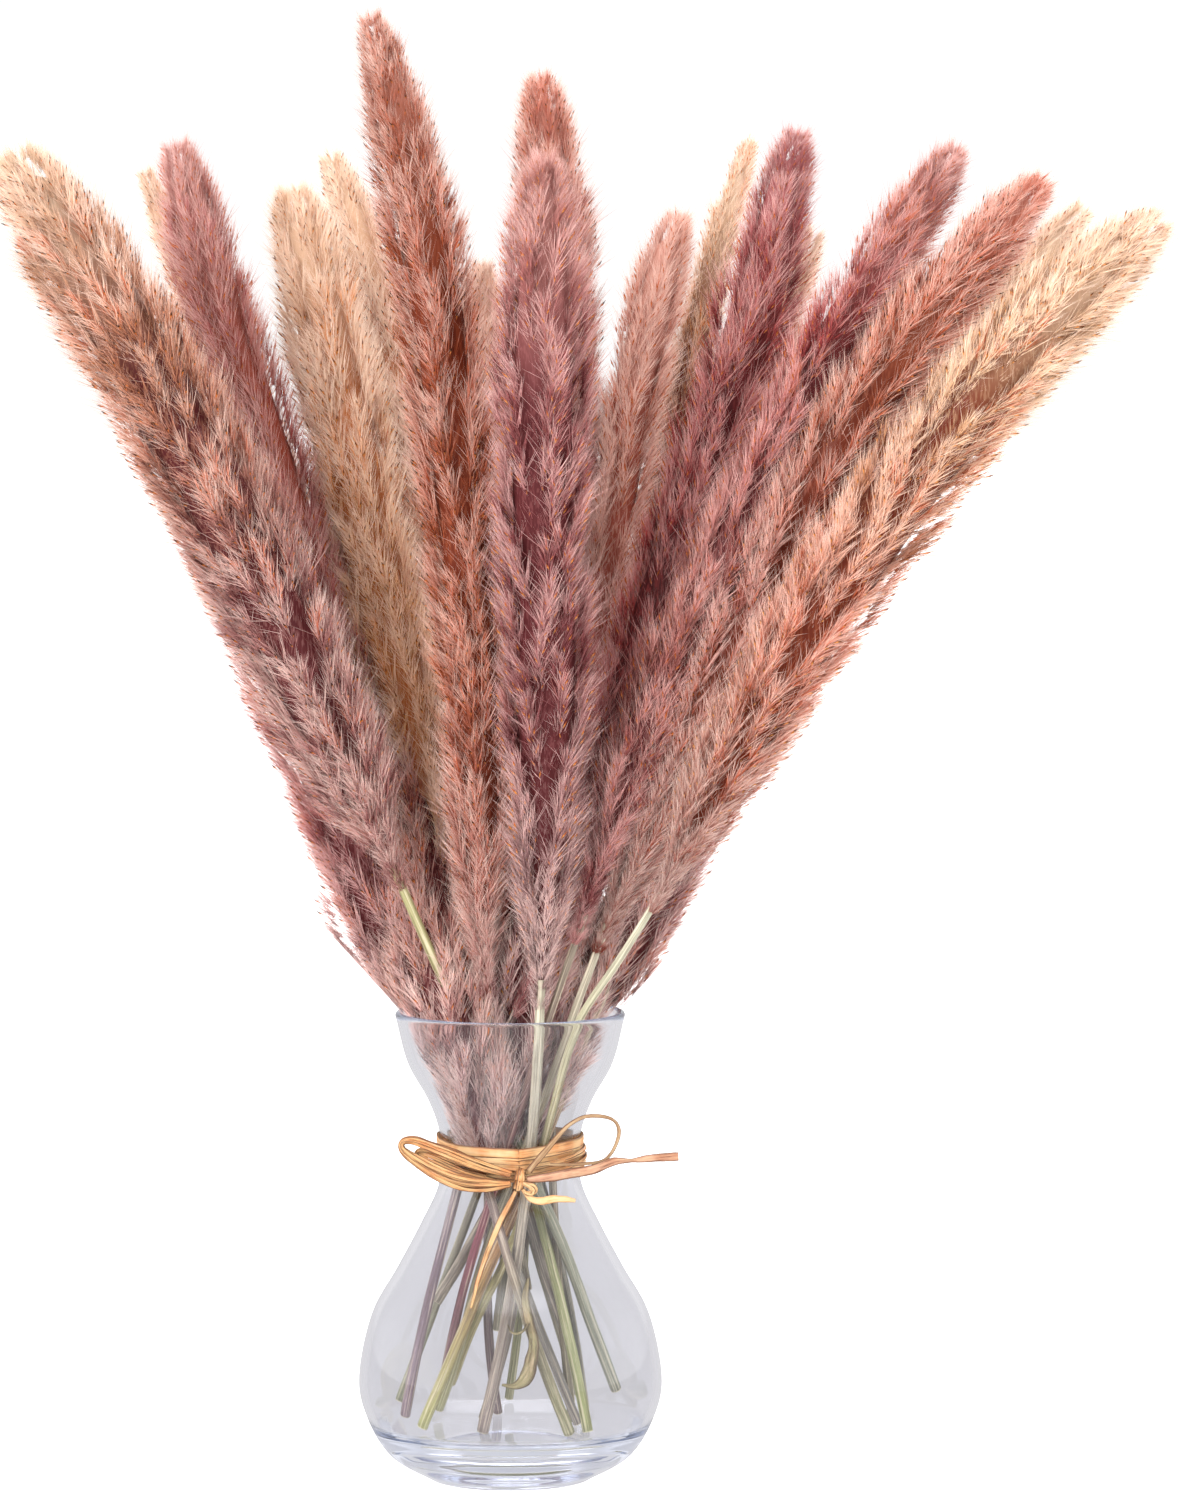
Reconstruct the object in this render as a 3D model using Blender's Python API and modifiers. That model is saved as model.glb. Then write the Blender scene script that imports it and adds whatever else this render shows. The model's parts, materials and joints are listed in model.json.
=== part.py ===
"""A glass bulb vase holding a bunch of dried pampas reeds, tied at the neck with raffia.

Lengths below are in millimetres and become metres through MM. The vase stands on the
origin, +Z is up, and the knot of the raffia tie is at the front, towards -Y.
Each reed is one bare stem and one plume on a common curve: from its foot on the glass
floor, through the narrow neck, to the tip of the plume.
"""

import math
from collections import namedtuple

import bmesh
import bpy
import numpy as np
from mathutils import Vector

MM = 0.001
GAP = 0.4

# Glass vase: outside outline as (radius, height), from the flat foot to the rim.
OUTLINE = (
    (26.0, 0.0), (39.0, 7.8), (46.4, 20.0), (48.8, 33.0), (44.7, 52.9), (36.3, 68.2),
    (28.6, 82.7), (22.8, 96.0), (22.6, 110.5), (26.2, 122.0), (33.0, 134.5), (36.9, 150.0),
)
WALL = 2.4
FLOOR_HEIGHT = 12.4
FLOOR_EDGE = (38.0, 13.6)
RIM_HEIGHT = OUTLINE[-1][1]
NECK_HEIGHT = 104.0
VASE_SIDES = 28

# Reeds: the foot's place on the floor and its height when it hangs clear, the place in
# the neck, the middle and tip of the plume, the height where the plume begins, the
# plume's largest radius, the stem's radius, and the colours of plume and stem.
Reed = namedtuple("Reed", "foot neck middle tip base girth stem tone stalk")
REEDS = (
    Reed((37, 26, 24), (3, -1), (-99, -54, 333), (-155, -70, 427), 203, 18.5, 1.9, "cream", "sage"),
    Reed((25, 30, 0), (7, 12), (-84, 42, 339), (-122, 60, 424), 208, 10.0, 1.7, "straw", "sage"),
    Reed((25, 2, 0), (3, 6), (-80, 2, 334), (-107, -2, 432), 188, 13.0, 1.8, "mauve", "lime"),
    Reed((18, 16, 44), (-3, 9), (-48, 10, 310), (-71, 24, 418), 176, 15.0, 2.0, "cream", "taupe"),
    Reed((23, 36, 0), (3, 15), (-35, 50, 339), (-61, 78, 429), 192, 11.5, 1.6, "straw", "olive"),
    Reed((-4, 35, 0), (-7, -2), (-17, -40, 338), (-44, -50, 471), 162, 14.0, 1.6, "rust", "purple"),
    Reed((-6, 20, 42), (-1, 18), (-9, 60, 308), (-10, 80, 394), 188, 12.0, 1.6, "peach", "olive"),
    Reed((-1, 41, 0), (9, 15), (17, 38, 339), (9, 50, 455), 172, 13.0, 1.5, "rose", "olive"),
    Reed((-9, 0, 0), (6, -15), (11, -60, 322), (12, -84, 427), 166, 16.5, 2.0, "mauve", "taupe"),
    Reed((20, 22, 0), (14, 8), (34, 32, 323), (56, 48, 410), 174, 11.0, 1.6, "coral", "olive"),
    Reed((-10, 24, 0), (11, 16), (54, 56, 338), (80, 84, 434), 196, 8.5, 1.6, "gold", "taupe"),
    Reed((-36, 15, 0), (-13, -4), (64, -14, 328), (92, -20, 436), 160, 14.5, 1.7, "plum", "purple"),
    Reed((-38, 20, 0), (-6, 12), (75, 40, 339), (100, 60, 404), 188, 11.0, 1.6, "tan", "olive"),
    Reed((-24, 34, 0), (-2, -9), (85, -34, 329), (143, -46, 430), 187, 14.0, 1.6, "plum", "purple"),
    Reed((-25, 30, 0), (4, -7), (100, -44, 329), (169, -64, 419), 182, 15.0, 1.6, "rust", "sage"),
    Reed((-29, 8, 0), (8, 5), (122, 6, 330), (187, 12, 411), 190, 12.0, 1.8, "tan", "lime"),
    Reed((-21, 40, 24), (10, -13), (126, -72, 325), (203, -92, 407), 196, 16.5, 1.5, "peach", "lime"),
    Reed((22, 15, 0), (-11, 5), (-62, -4, 240), (-122, -2, 372), 132, 16.0, 1.6, "rose", "taupe"),
    Reed((-24, 10, 55), (5, 10), (72, 10, 249), (141, 20, 350), 122, 15.5, 1.9, "rust", "taupe"),
    Reed((19, -2, 0), (-9, -12), (-36, 9, 234), (-55, 27, 334), 96, 15.0, 1.9, "mauve", "olive"),
    Reed((5, 12, 58), (2, 2), (8, 4, 240), (-2, 20, 352), 112, 14.0, 1.7, "mauve", "olive"),
)
AXIS_SAMPLES = 150
STEM_POINTS = 8
STEM_SPACING = 0.9
PLUME_RINGS = 10
STEPS_PER_RING = 4
PLUME_SIDES = 8
STEM_TAPER = 0.75
PLUME_CORE = 2.2
RIM_FLARE = 1.0

# Plume radius along its length, as (share of length, share of girth).
PLUME_SHAPE = (
    (0.0, 0.28), (0.06, 0.55), (0.16, 0.82), (0.35, 1.0), (0.65, 1.0),
    (0.82, 0.92), (0.93, 0.68), (1.0, 0.16),
)

# Colours of the plumes and of the stems, as red, green and blue.
TONES = {
    "cream": (0.80, 0.60, 0.42), "straw": (0.82, 0.66, 0.45), "mauve": (0.45, 0.27, 0.30),
    "rust": (0.52, 0.26, 0.17), "peach": (0.76, 0.47, 0.33), "rose": (0.52, 0.29, 0.27),
    "coral": (0.66, 0.30, 0.23), "gold": (0.62, 0.40, 0.22), "plum": (0.40, 0.18, 0.20),
    "tan": (0.62, 0.44, 0.31),
}
STALKS = {
    "sage": (0.40, 0.42, 0.30), "lime": (0.55, 0.56, 0.30), "olive": (0.36, 0.35, 0.20),
    "taupe": (0.38, 0.32, 0.26), "purple": (0.30, 0.20, 0.22),
}
RAFFIA_COLOUR = (0.72, 0.48, 0.24)
LEAF_COLOUR = (0.46, 0.42, 0.24)

# Raffia: thickness of a strip, then the wraps as (lower edge, upper edge, inside radius).
RAFFIA_THICK = 0.6
WRAPS = {
    "raffia_wrap_upper": (107.9, 111.9, 23.1),
    "raffia_wrap_middle": (104.2, 107.7, 23.1),
    "raffia_wrap_lower": (99.6, 103.7, 23.0),
}
WRAP_SIDES = 24
KNOT_CENTRE = (3.2, -25.7, 99.8)
KNOT_SIZE = (3.6, 2.8, 5.6)

# Raffia runs: points along the middle of each strip, its widths from end to end, and
# the way its flat side faces.
RUNS = {
    "raffia_loop_left": (
        ((0.6, -26.3, 98.8), (-7, -26.6, 98.4), (-15, -25.4, 99), (-22, -23, 101.3),
         (-28, -20, 104.2), (-33.5, -17.6, 108), (-34, -17.4, 110.6), (-31, -18.4, 111.6),
         (-26, -20.6, 110.4), (-18, -23.4, 107.6), (-9, -25.8, 104.4), (0.6, -26.3, 101.6)),
        (2.2, 2.6, 2.4, 2.0, 2.2, 2.4, 2.0), (-0.3, -1.0, 0.0)),
    "raffia_loop_left_back": (
        ((-3, -24.5, 98.6), (-9, -24.6, 99.4), (-16, -23.4, 101), (-22, -20.8, 103.4),
         (-27.5, -18, 106), (-29.5, -17, 107.4), (-27, -18.2, 107.8), (-21, -21.2, 106.3),
         (-14, -23.8, 104), (-7, -24.9, 101.8)),
        (1.4, 1.8, 1.6, 1.4, 1.4, 1.6, 1.2), (-0.3, -1.0, 0.0)),
    "raffia_loop_right": (
        ((6.2, -26, 102.6), (10, -26.2, 107.4), (15.6, -25.8, 114), (19, -24.8, 117.3),
         (23.5, -23.4, 119.6), (28.7, -22.2, 119.8), (33, -21.2, 118.4), (34.8, -20.6, 115.4),
         (34.2, -20.4, 111.4), (32, -20.8, 107.2), (29, -21.5, 105.2), (22.4, -23.3, 104.6),
         (13, -24.9, 104.6)),
        (1.2, 1.5, 1.4, 1.2, 1.4, 1.2, 1.2), (0.2, -1.0, 0.0)),
    "raffia_tail_right": (
        ((5.6, -26, 99.9), (9.6, -26.6, 100.4), (13.8, -26.6, 101), (20, -25.8, 102),
         (26.4, -24.6, 103), (33.2, -23.4, 105.4), (39, -22.6, 105.6), (46, -22.4, 106.4),
         (53.8, -22.4, 107)),
        (1.8, 2.4, 2.4, 2.3, 1.7, 2.4, 2.3), (0.1, -1.0, 0.1)),
    "raffia_tail_short": (
        ((4.9, -26.2, 96.0), (7, -26.6, 93.8), (10, -26.8, 93.2), (13.8, -26.6, 93.8),
         (17.5, -26.2, 93.7), (21, -25.6, 93.2)),
        (1.2, 2.0, 2.2, 1.9, 1.5, 0.9), (0.1, -1.0, 0.1)),
}
# The front tail lies on the glass, so only its x and height are chosen.
FRONT_TAIL = ((2.0, 96.2), (0.2, 92.6), (-2.3, 88.0), (-4.6, 83.0), (-6.6, 78.5),
              (-8.4, 73.5), (-9.9, 69.0), (-11.0, 64.5), (-12.0, 61.0))
FRONT_TAIL_WIDTHS = (1.4, 2.0, 2.2, 2.0, 1.7, 1.4, 0.8)
FRONT_TAIL_CLEARANCE = 1.3

# Dry leaf that clings to the foremost left-leaning stem, curling to a thin end.
LEAF_POINTS = ((5.8, -12.4, 66), (4.9, -13.4, 60), (6, -13.8, 53), (7.4, -13.6, 46),
               (7, -13.2, 40), (5.2, -12.8, 34.5), (1.6, -12.6, 31.6), (-2.6, -12.4, 31.8))
LEAF_WIDTHS = (1.2, 2.6, 3.0, 3.6, 5.0, 4.4, 2.2, 0.8)
LEAF_FACINGS = ((0.9, -1, 0), (-0.8, -1, 0.2), (0.1, -1, 0.1))
LEAF_THICK = 0.6


# ---- Curves and surfaces -------------------------------------------------------------

def smooth_through(points, per_span):
    """Points of a Catmull-Rom curve through the given ones, per_span for each span."""
    rail = [np.array(p, float) for p in points]
    rail = [2 * rail[0] - rail[1]] + rail + [2 * rail[-1] - rail[-2]]
    made = []
    for a, b, c, d in zip(rail, rail[1:], rail[2:], rail[3:]):
        for step in range(per_span):
            t = step / per_span
            made.append(0.5 * (2 * b + (c - a) * t + (2 * a - 5 * b + 4 * c - d) * t ** 2
                               + (3 * b - 3 * c + d - a) * t ** 3))
    made.append(rail[-2])
    return np.array(made)


def spread(points, count):
    """The same line read at an even spacing, as count points."""
    reach = np.concatenate([[0], np.cumsum(np.linalg.norm(np.diff(points, axis=0), axis=1))])
    at = np.linspace(0, reach[-1], count)
    return np.stack([np.interp(at, reach, points[:, k]) for k in range(points.shape[1])], 1)


def unit(vectors):
    return vectors / np.linalg.norm(vectors, axis=-1, keepdims=True)


def material(name, colour, roughness, metallic=0.0, transmission=0.0):
    made = bpy.data.materials.new(name)
    made.use_nodes = True
    shader = made.node_tree.nodes["Principled BSDF"]
    shader.inputs["Base Color"].default_value = (*colour, 1.0)
    shader.inputs["Roughness"].default_value = roughness
    shader.inputs["Metallic"].default_value = metallic
    shader.inputs["Transmission Weight"].default_value = transmission
    made.diffuse_color = (*colour, 1.0)
    return made


def add_object(name, data, finish, collection):
    made = bpy.data.objects.new(name, data)
    data.materials.append(finish)
    collection.objects.link(made)
    return made


def shade_round(mesh):
    mesh.shade_smooth()
    mesh.set_sharp_from_angle(angle=math.radians(40))


def loft(name, rings):
    """A closed mesh through rings of points in millimetres, capped at both ends."""
    mesh = bpy.data.meshes.new(name)
    build = bmesh.new()
    rows = [[build.verts.new(Vector(p) * MM) for p in ring] for ring in rings]
    sides = len(rows[0])
    for low, high in zip(rows, rows[1:]):
        for k in range(sides):
            build.faces.new((low[k], low[(k + 1) % sides], high[(k + 1) % sides], high[k]))
    build.faces.new(rows[0][::-1])
    build.faces.new(rows[-1])
    bmesh.ops.recalc_face_normals(build, faces=build.faces)
    build.to_mesh(mesh)
    build.free()
    return mesh


def turned(name, profile, sides, closed, finish, collection):
    """A profile of (radius, height) in the XZ plane, turned about Z by a Screw modifier."""
    mesh = bpy.data.meshes.new(name)
    edges = [(k, k + 1) for k in range(len(profile) - 1)]
    if closed:
        edges.append((len(profile) - 1, 0))
    mesh.from_pydata([(r * MM, 0.0, z * MM) for r, z in profile], edges, [])
    made = add_object(name, mesh, finish, collection)
    screw = made.modifiers.new("turn", "SCREW")
    screw.axis = "Z"
    screw.angle = math.tau
    screw.steps = sides
    screw.render_steps = sides
    screw.use_merge_vertices = True
    screw.merge_threshold = 0.00001
    screw.use_smooth_shade = True
    return made


# ---- Vase ----------------------------------------------------------------------------

def vase_outside():
    return smooth_through(OUTLINE, 2)


def vase_inside():
    """The inner wall, from the middle of the floor up to the rim."""
    outside = vase_outside()
    along = unit(np.gradient(outside, axis=0))
    wall = outside + WALL * np.stack([-along[:, 1], along[:, 0]], 1)
    wall[-1] = (OUTLINE[-1][0] - WALL, RIM_HEIGHT)
    wall = wall[wall[:, 1] > FLOOR_EDGE[1] + 3]
    return np.concatenate([[(0.0, FLOOR_HEIGHT), (FLOOR_EDGE[0] * 0.8, FLOOR_HEIGHT), FLOOR_EDGE],
                           wall])


def inside_radius(height):
    wall = vase_inside()[2:]
    return np.interp(height, wall[:, 1], wall[:, 0])


def outside_radius(height):
    wall = vase_outside()
    return np.interp(height, wall[:, 1], wall[:, 0])


def make_vase(collection):
    rim_middle = OUTLINE[-1][0] - WALL / 2
    rim = [(rim_middle - WALL * 0.3, RIM_HEIGHT + WALL * 0.28),
           (rim_middle + WALL * 0.3, RIM_HEIGHT + WALL * 0.28)]
    profile = [*vase_inside(), *rim, *vase_outside()[::-1], (0.0, 0.0)]
    glass = material("clear_glass", (0.93, 0.94, 0.97), 0.02, transmission=1.0)
    turned("vase", profile, VASE_SIDES, False, glass, collection)


# ---- Reeds ---------------------------------------------------------------------------

def floor_at(x, y):
    """Height of the glass floor or the lower wall under a place inside the vase."""
    wall = vase_inside()
    low = wall[wall[:, 1] < 34]
    return float(np.interp(math.hypot(x, y), low[:, 0], low[:, 1]))


def reed_axis(reed):
    """The one cubic curve through a reed's foot, neck, middle and tip."""
    x, y, hang = reed.foot
    foot = (x, y, hang or floor_at(x, y) + reed.stem)
    marks = np.array([foot, (*reed.neck, NECK_HEIGHT), reed.middle, reed.tip], float)
    reach = np.concatenate([[0], np.cumsum(np.linalg.norm(np.diff(marks, axis=0), axis=1))])
    at = np.linspace(0, reach[-1], AXIS_SAMPLES)
    axis = np.zeros((AXIS_SAMPLES, 3))
    for k, mark in enumerate(marks):
        weight = np.ones(AXIS_SAMPLES)
        for other in range(len(marks)):
            if other != k:
                weight *= (at - reach[other]) / (reach[k] - reach[other])
        axis += weight[:, None] * mark
    return spread(axis, AXIS_SAMPLES)


def bump(centre, axis):
    """A smooth hill along a reed, 1 at the sample centre and fading within about 60 mm."""
    away = np.linalg.norm(axis - axis[centre], axis=1)
    return np.exp(-(away / 32.0) ** 2)[:, None]


def settle(axes, room):
    """Let the reeds rest beside each other: where two come closer than their room, both
    bend aside a little, and in the neck each is kept off the glass."""
    for _ in range(140):
        moved = False
        for i in range(len(axes)):
            for j in range(i + 1, len(axes)):
                apart = axes[i][:, None, :] - axes[j][None, :, :]
                far = np.sqrt((apart ** 2).sum(2))
                short = room[i][:, None] + room[j][None, :] + STEM_SPACING - far
                a, b = np.unravel_index(short.argmax(), short.shape)
                if short[a, b] <= 0.02:
                    continue
                moved = True
                push = apart[a, b] / max(far[a, b], 1e-6) * (short[a, b] * 0.55)
                axes[i] += bump(a, axes[i]) * push
                axes[j] -= bump(b, axes[j]) * push
        for i, axis in enumerate(axes):
            radius = np.hypot(axis[:, 0], axis[:, 1])
            over = radius + room[i] + GAP + 0.4 - inside_radius(axis[:, 2])
            over[axis[:, 2] > RIM_HEIGHT] = 0
            k = int(over.argmax())
            if over[k] > 0.02:
                moved = True
                inward = np.array([axis[k, 0], axis[k, 1], 0.0]) / radius[k]
                axes[i] -= bump(k, axis) * inward * over[k]
        if not moved:
            break
    return axes


def frames_along(line):
    """Two directions square to the line at each point, turning with it as little as may be."""
    along = unit(np.gradient(line, axis=0))
    first = []
    side = np.cross(along[0], (0.0, 1.0, 0.0))
    for direction in along:
        side = side - direction * side.dot(direction)
        side = side / np.linalg.norm(side)
        first.append(side)
    first = np.array(first)
    return first, np.cross(along, first)


def fluff_limit(point, away, radius, others):
    """How far the plume may reach from a point of its axis along each direction in away.
    A plane square to the line between two reeds keeps them apart: it touches a bare stem,
    and it divides the distance between two plumes by their radii."""
    reach = np.full(len(away), radius)
    for axis, plump, is_stem in others:
        between = axis - point
        far = np.sqrt((between ** 2).sum(1))
        near = far < radius + plump + GAP
        if not near.any():
            continue
        far, plump, between = far[near], plump[near], between[near]
        shared = far * radius / (radius + plump)
        stop = np.where(is_stem[near], far - plump, shared) - GAP
        lean = np.maximum(away @ (between / far[:, None]).T, 0.05)
        reach = np.minimum(reach, (stop / lean).min(1))
    return np.maximum(reach, 0.0)


def inside_glass(point, away, reach):
    """The reach cut back where it would pass the inner wall or the rim."""
    steps = np.linspace(1.0, 0.0, 41)
    for k, direction in enumerate(away):
        places = point + direction * (steps[:, None] * reach[k])
        radius = np.hypot(places[:, 0], places[:, 1])
        height = places[:, 2]
        room = inside_radius(height) - 2 * GAP - RIM_FLARE
        room = room + np.clip(height - RIM_HEIGHT, 0, None) * 1.5
        free = steps[radius < room]
        reach[k] *= free[0] if len(free) else 0.0
    return reach


def plume_rings(index, axes, base_at, radii, room):
    """Rings of a plume's outer shape, flattened where a neighbour or the glass is."""
    steps = (PLUME_RINGS - 1) * STEPS_PER_RING + 1
    line = spread(axes[index][base_at[index]:], steps)
    share = np.linspace(0, 1, steps)
    plump = REEDS[index].girth * np.interp(share, *np.transpose(PLUME_SHAPE))
    others = []
    for j, other in enumerate(axes):
        if j != index:
            is_stem = np.arange(len(other)) < base_at[j]
            others.append((other, np.where(is_stem, room[j], radii[j]), is_stem))
    turn = np.arange(PLUME_SIDES) / PLUME_SIDES * math.tau
    first, second = frames_along(line)
    away = (np.cos(turn)[None, :, None] * first[:, None, :]
            + np.sin(turn)[None, :, None] * second[:, None, :])
    reach = np.array([inside_glass(line[k], away[k], fluff_limit(line[k], away[k], plump[k], others))
                      for k in range(steps)])
    share_left = reach / plump[:, None]
    half = STEPS_PER_RING // 2 + 1
    rings = []
    for k in range(0, steps, STEPS_PER_RING):
        least = share_left[max(k - half, 0):k + half + 1].min(0) * plump[k]
        rings.append(line[k] + away[k] * np.maximum(least, 0.5)[:, None])
    return rings


def make_stem(name, line, radius, finish, collection):
    curve = bpy.data.curves.new(name, "CURVE")
    curve.dimensions = "3D"
    curve.bevel_depth = radius * MM
    curve.bevel_resolution = 2
    curve.use_fill_caps = True
    spline = curve.splines.new("POLY")
    spline.points.add(len(line) - 1)
    for k, point in enumerate(line):
        spline.points[k].co = (*(point * MM), 1.0)
        spline.points[k].radius = 1.0 + (STEM_TAPER - 1.0) * k / (len(line) - 1)
    spline.use_smooth = True
    add_object(name, curve, finish, collection)


def make_reeds(collection):
    axes = [reed_axis(reed) for reed in REEDS]
    room = []
    for reed, axis in zip(REEDS, axes):
        taper = np.interp(axis[:, 2], (axis[0, 2], reed.base), (1.0, STEM_TAPER))
        room.append(np.where(axis[:, 2] < reed.base, reed.stem * taper, PLUME_CORE))
    axes = settle(axes, room)
    base_at = [int(np.argmax(axis[:, 2] > reed.base)) for reed, axis in zip(REEDS, axes)]
    radii = []
    for reed, axis, base in zip(REEDS, axes, base_at):
        share = np.clip(np.arange(AXIS_SAMPLES) - base, 0, None) / (AXIS_SAMPLES - 1 - base)
        radii.append(reed.girth * np.interp(share, *np.transpose(PLUME_SHAPE)))
    for index, reed in enumerate(REEDS):
        number = f"{index + 1:02d}"
        tone = material(f"plume_{number}_{reed.tone}", TONES[reed.tone], 0.9)
        mesh = loft(f"plume_{number}", plume_rings(index, axes, base_at, radii, room))
        shade_round(mesh)
        add_object(f"plume_{number}", mesh, tone, collection)
        bare = axes[index][:base_at[index] + 1]
        line = spread(bare, 60)[:-1]
        bark = material(f"stem_{number}_{reed.stalk}", STALKS[reed.stalk], 0.6)
        make_stem(f"stem_{number}", spread(line, STEM_POINTS), reed.stem, bark, collection)


# ---- Raffia tie and leaf -------------------------------------------------------------

def strip_rings(points, widths, facings, thick):
    """Four-cornered sections along a flat strip, its flat side turned to the facings."""
    line = smooth_through(points, 1) if len(points) > 10 else spread(smooth_through(points, 6), 11)
    share = np.linspace(0, 1, len(line))
    width = np.interp(share, np.linspace(0, 1, len(widths)), widths)
    facings = np.array(facings, float).reshape(-1, 3)
    facing = np.stack([np.interp(share, np.linspace(0, 1, len(facings)), facings[:, k])
                       for k in range(3)], 1)
    along = unit(np.gradient(line, axis=0))
    across = unit(np.cross(along, facing))
    out = np.cross(across, along)
    corners = ((-0.5, -0.5), (0.5, -0.5), (0.5, 0.5), (-0.5, 0.5))
    return [[line[k] + across[k] * a * width[k] + out[k] * b * thick for a, b in corners]
            for k in range(len(line))]


def make_strip(name, points, widths, facings, thick, finish, collection):
    mesh = loft(name, strip_rings(points, widths, facings, thick))
    add_object(name, mesh, finish, collection)


def make_knot(finish, collection):
    mesh = bpy.data.meshes.new("raffia_knot")
    build = bmesh.new()
    bmesh.ops.create_cube(build, size=1.0)
    bmesh.ops.scale(build, verts=build.verts, vec=Vector(KNOT_SIZE) * MM)
    bmesh.ops.translate(build, verts=build.verts, vec=Vector(KNOT_CENTRE) * MM)
    build.to_mesh(mesh)
    build.free()
    knot = add_object("raffia_knot", mesh, finish, collection)
    rounding = knot.modifiers.new("rounding", "BEVEL")
    rounding.width = 0.7 * MM
    rounding.segments = 2


def make_tie(collection):
    finish = material("raffia", RAFFIA_COLOUR, 0.55)
    for name, (low, high, radius) in WRAPS.items():
        profile = [(radius, low), (radius, high),
                   (radius + RAFFIA_THICK, high), (radius + RAFFIA_THICK, low)]
        turned(name, profile, WRAP_SIDES, True, finish, collection)
    make_knot(finish, collection)
    for name, (points, widths, facing) in RUNS.items():
        make_strip(name, points, widths, facing, RAFFIA_THICK, finish, collection)
    lying = []
    for x, z in FRONT_TAIL:
        reach = max(outside_radius(z) + FRONT_TAIL_CLEARANCE, -KNOT_CENTRE[1] + 0.4)
        lying.append((x, -math.sqrt(reach ** 2 - x ** 2), z))
    make_strip("raffia_tail_front", lying, FRONT_TAIL_WIDTHS, (0.0, -1.0, 0.5),
               RAFFIA_THICK, finish, collection)


def make_leaf(collection):
    finish = material("dry_leaf", LEAF_COLOUR, 0.7)
    make_strip("dry_leaf", LEAF_POINTS, LEAF_WIDTHS, LEAF_FACINGS, LEAF_THICK, finish, collection)


def main():
    for old in list(bpy.data.objects):
        bpy.data.objects.remove(old, do_unlink=True)
    parts = bpy.data.collections.new("pampas_vase")
    bpy.context.scene.collection.children.link(parts)
    make_vase(parts)
    make_reeds(parts)
    make_tie(parts)
    make_leaf(parts)


main()
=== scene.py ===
"""A glass bulb vase with a bunch of dried reed plumes, tied at the neck with raffia.

Each section makes one piece or one group of like pieces. Lengths are in metres, and
those given in millimetres become metres through MM.
"""
import json
import math

import bmesh
import bpy
import numpy as np
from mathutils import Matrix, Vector

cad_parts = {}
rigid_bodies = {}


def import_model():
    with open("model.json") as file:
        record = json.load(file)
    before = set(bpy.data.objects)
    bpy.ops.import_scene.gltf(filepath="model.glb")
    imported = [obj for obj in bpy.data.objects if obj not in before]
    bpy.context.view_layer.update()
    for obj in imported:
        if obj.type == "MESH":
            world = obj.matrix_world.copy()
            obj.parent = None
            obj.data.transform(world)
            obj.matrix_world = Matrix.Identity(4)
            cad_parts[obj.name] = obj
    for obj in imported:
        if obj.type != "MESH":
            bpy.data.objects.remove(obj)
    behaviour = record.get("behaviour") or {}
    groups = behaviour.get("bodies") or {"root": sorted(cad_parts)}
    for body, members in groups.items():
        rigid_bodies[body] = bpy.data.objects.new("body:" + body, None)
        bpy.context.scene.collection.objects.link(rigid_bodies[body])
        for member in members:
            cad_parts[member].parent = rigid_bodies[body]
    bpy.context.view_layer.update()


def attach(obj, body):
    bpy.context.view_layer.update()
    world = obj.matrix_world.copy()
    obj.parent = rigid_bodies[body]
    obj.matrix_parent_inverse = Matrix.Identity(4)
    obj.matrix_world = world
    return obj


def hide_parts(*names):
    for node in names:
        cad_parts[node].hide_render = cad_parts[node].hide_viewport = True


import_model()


# ---- Camera --------------------------------------------------------------------------
# It stands 2.2 m in front of the vase, level with the middle of the plumes, and looks
# a little down through a long lens, so that the glass rim shows as a thin oval.
def aim(place, target):
    return (Vector(target) - Vector(place)).to_track_quat("-Z", "Y").to_euler()


CAMERA_PLACE, CAMERA_AIM = (0.0253, -2.2, 0.40), (0.0253, 0.0, 0.2349)
CAMERA_LENS, FILM_HEIGHT = 110.3, 24.0
camera_data = bpy.data.cameras.new("camera")
camera_data.sensor_fit = "VERTICAL"
camera_data.sensor_height = FILM_HEIGHT
camera_data.lens = CAMERA_LENS
camera = bpy.data.objects.new("camera", camera_data)
camera.location = CAMERA_PLACE
camera.rotation_euler = aim(CAMERA_PLACE, CAMERA_AIM)
bpy.context.collection.objects.link(camera)
bpy.context.scene.camera = camera


# ---- Studio --------------------------------------------------------------------------
# A plain white floor, lit from within so that it runs out into the white room, and three
# large soft lamps: one high at the left, a weaker one at the right, and one behind that
# shines through the fluff. The glass is shielded from all three.
class Flow:
    """What one socket of a node tree gives out: a number, a direction, a colour or a
    shape. Sums of numbers and directions are written with the plain signs."""

    def __init__(self, socket):
        self.socket, self.tree = socket, socket.id_data

    def into(self, socket):
        self.tree.links.new(self.socket, socket)

    def __add__(self, other):
        return calc("ADD", self, other)

    def __sub__(self, other):
        return calc("SUBTRACT", self, other)

    def __rsub__(self, other):
        return calc("SUBTRACT", other, self)

    def __mul__(self, other):
        by_number = is_direction(self) and not is_direction(other)
        return calc("SCALE" if by_number else "MULTIPLY", self, other)

    def __truediv__(self, other):
        return calc("DIVIDE", self, other)

    def __mod__(self, other):
        return calc("MODULO", self, other)

    def __gt__(self, other):
        return calc("GREATER_THAN", self, other)

    def __lt__(self, other):
        return calc("LESS_THAN", self, other)


def is_direction(value):
    return isinstance(value, tuple) or (isinstance(value, Flow)
                                        and value.socket.type == "VECTOR")


def add_node(tree, kind, *values, **settings):
    """A node with its settings, and its open inputs filled in order with a plain value or
    with what another node gives. None leaves an input as it is."""
    made = tree.nodes.new(kind)
    for setting, value in settings.items():
        setattr(made, setting, value)
    sockets = [socket for socket in made.inputs if socket.enabled]
    for socket, value in zip(sockets, values):
        if isinstance(value, Flow):
            value.into(socket)
        elif value is not None:
            socket.default_value = value
    return made


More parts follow.
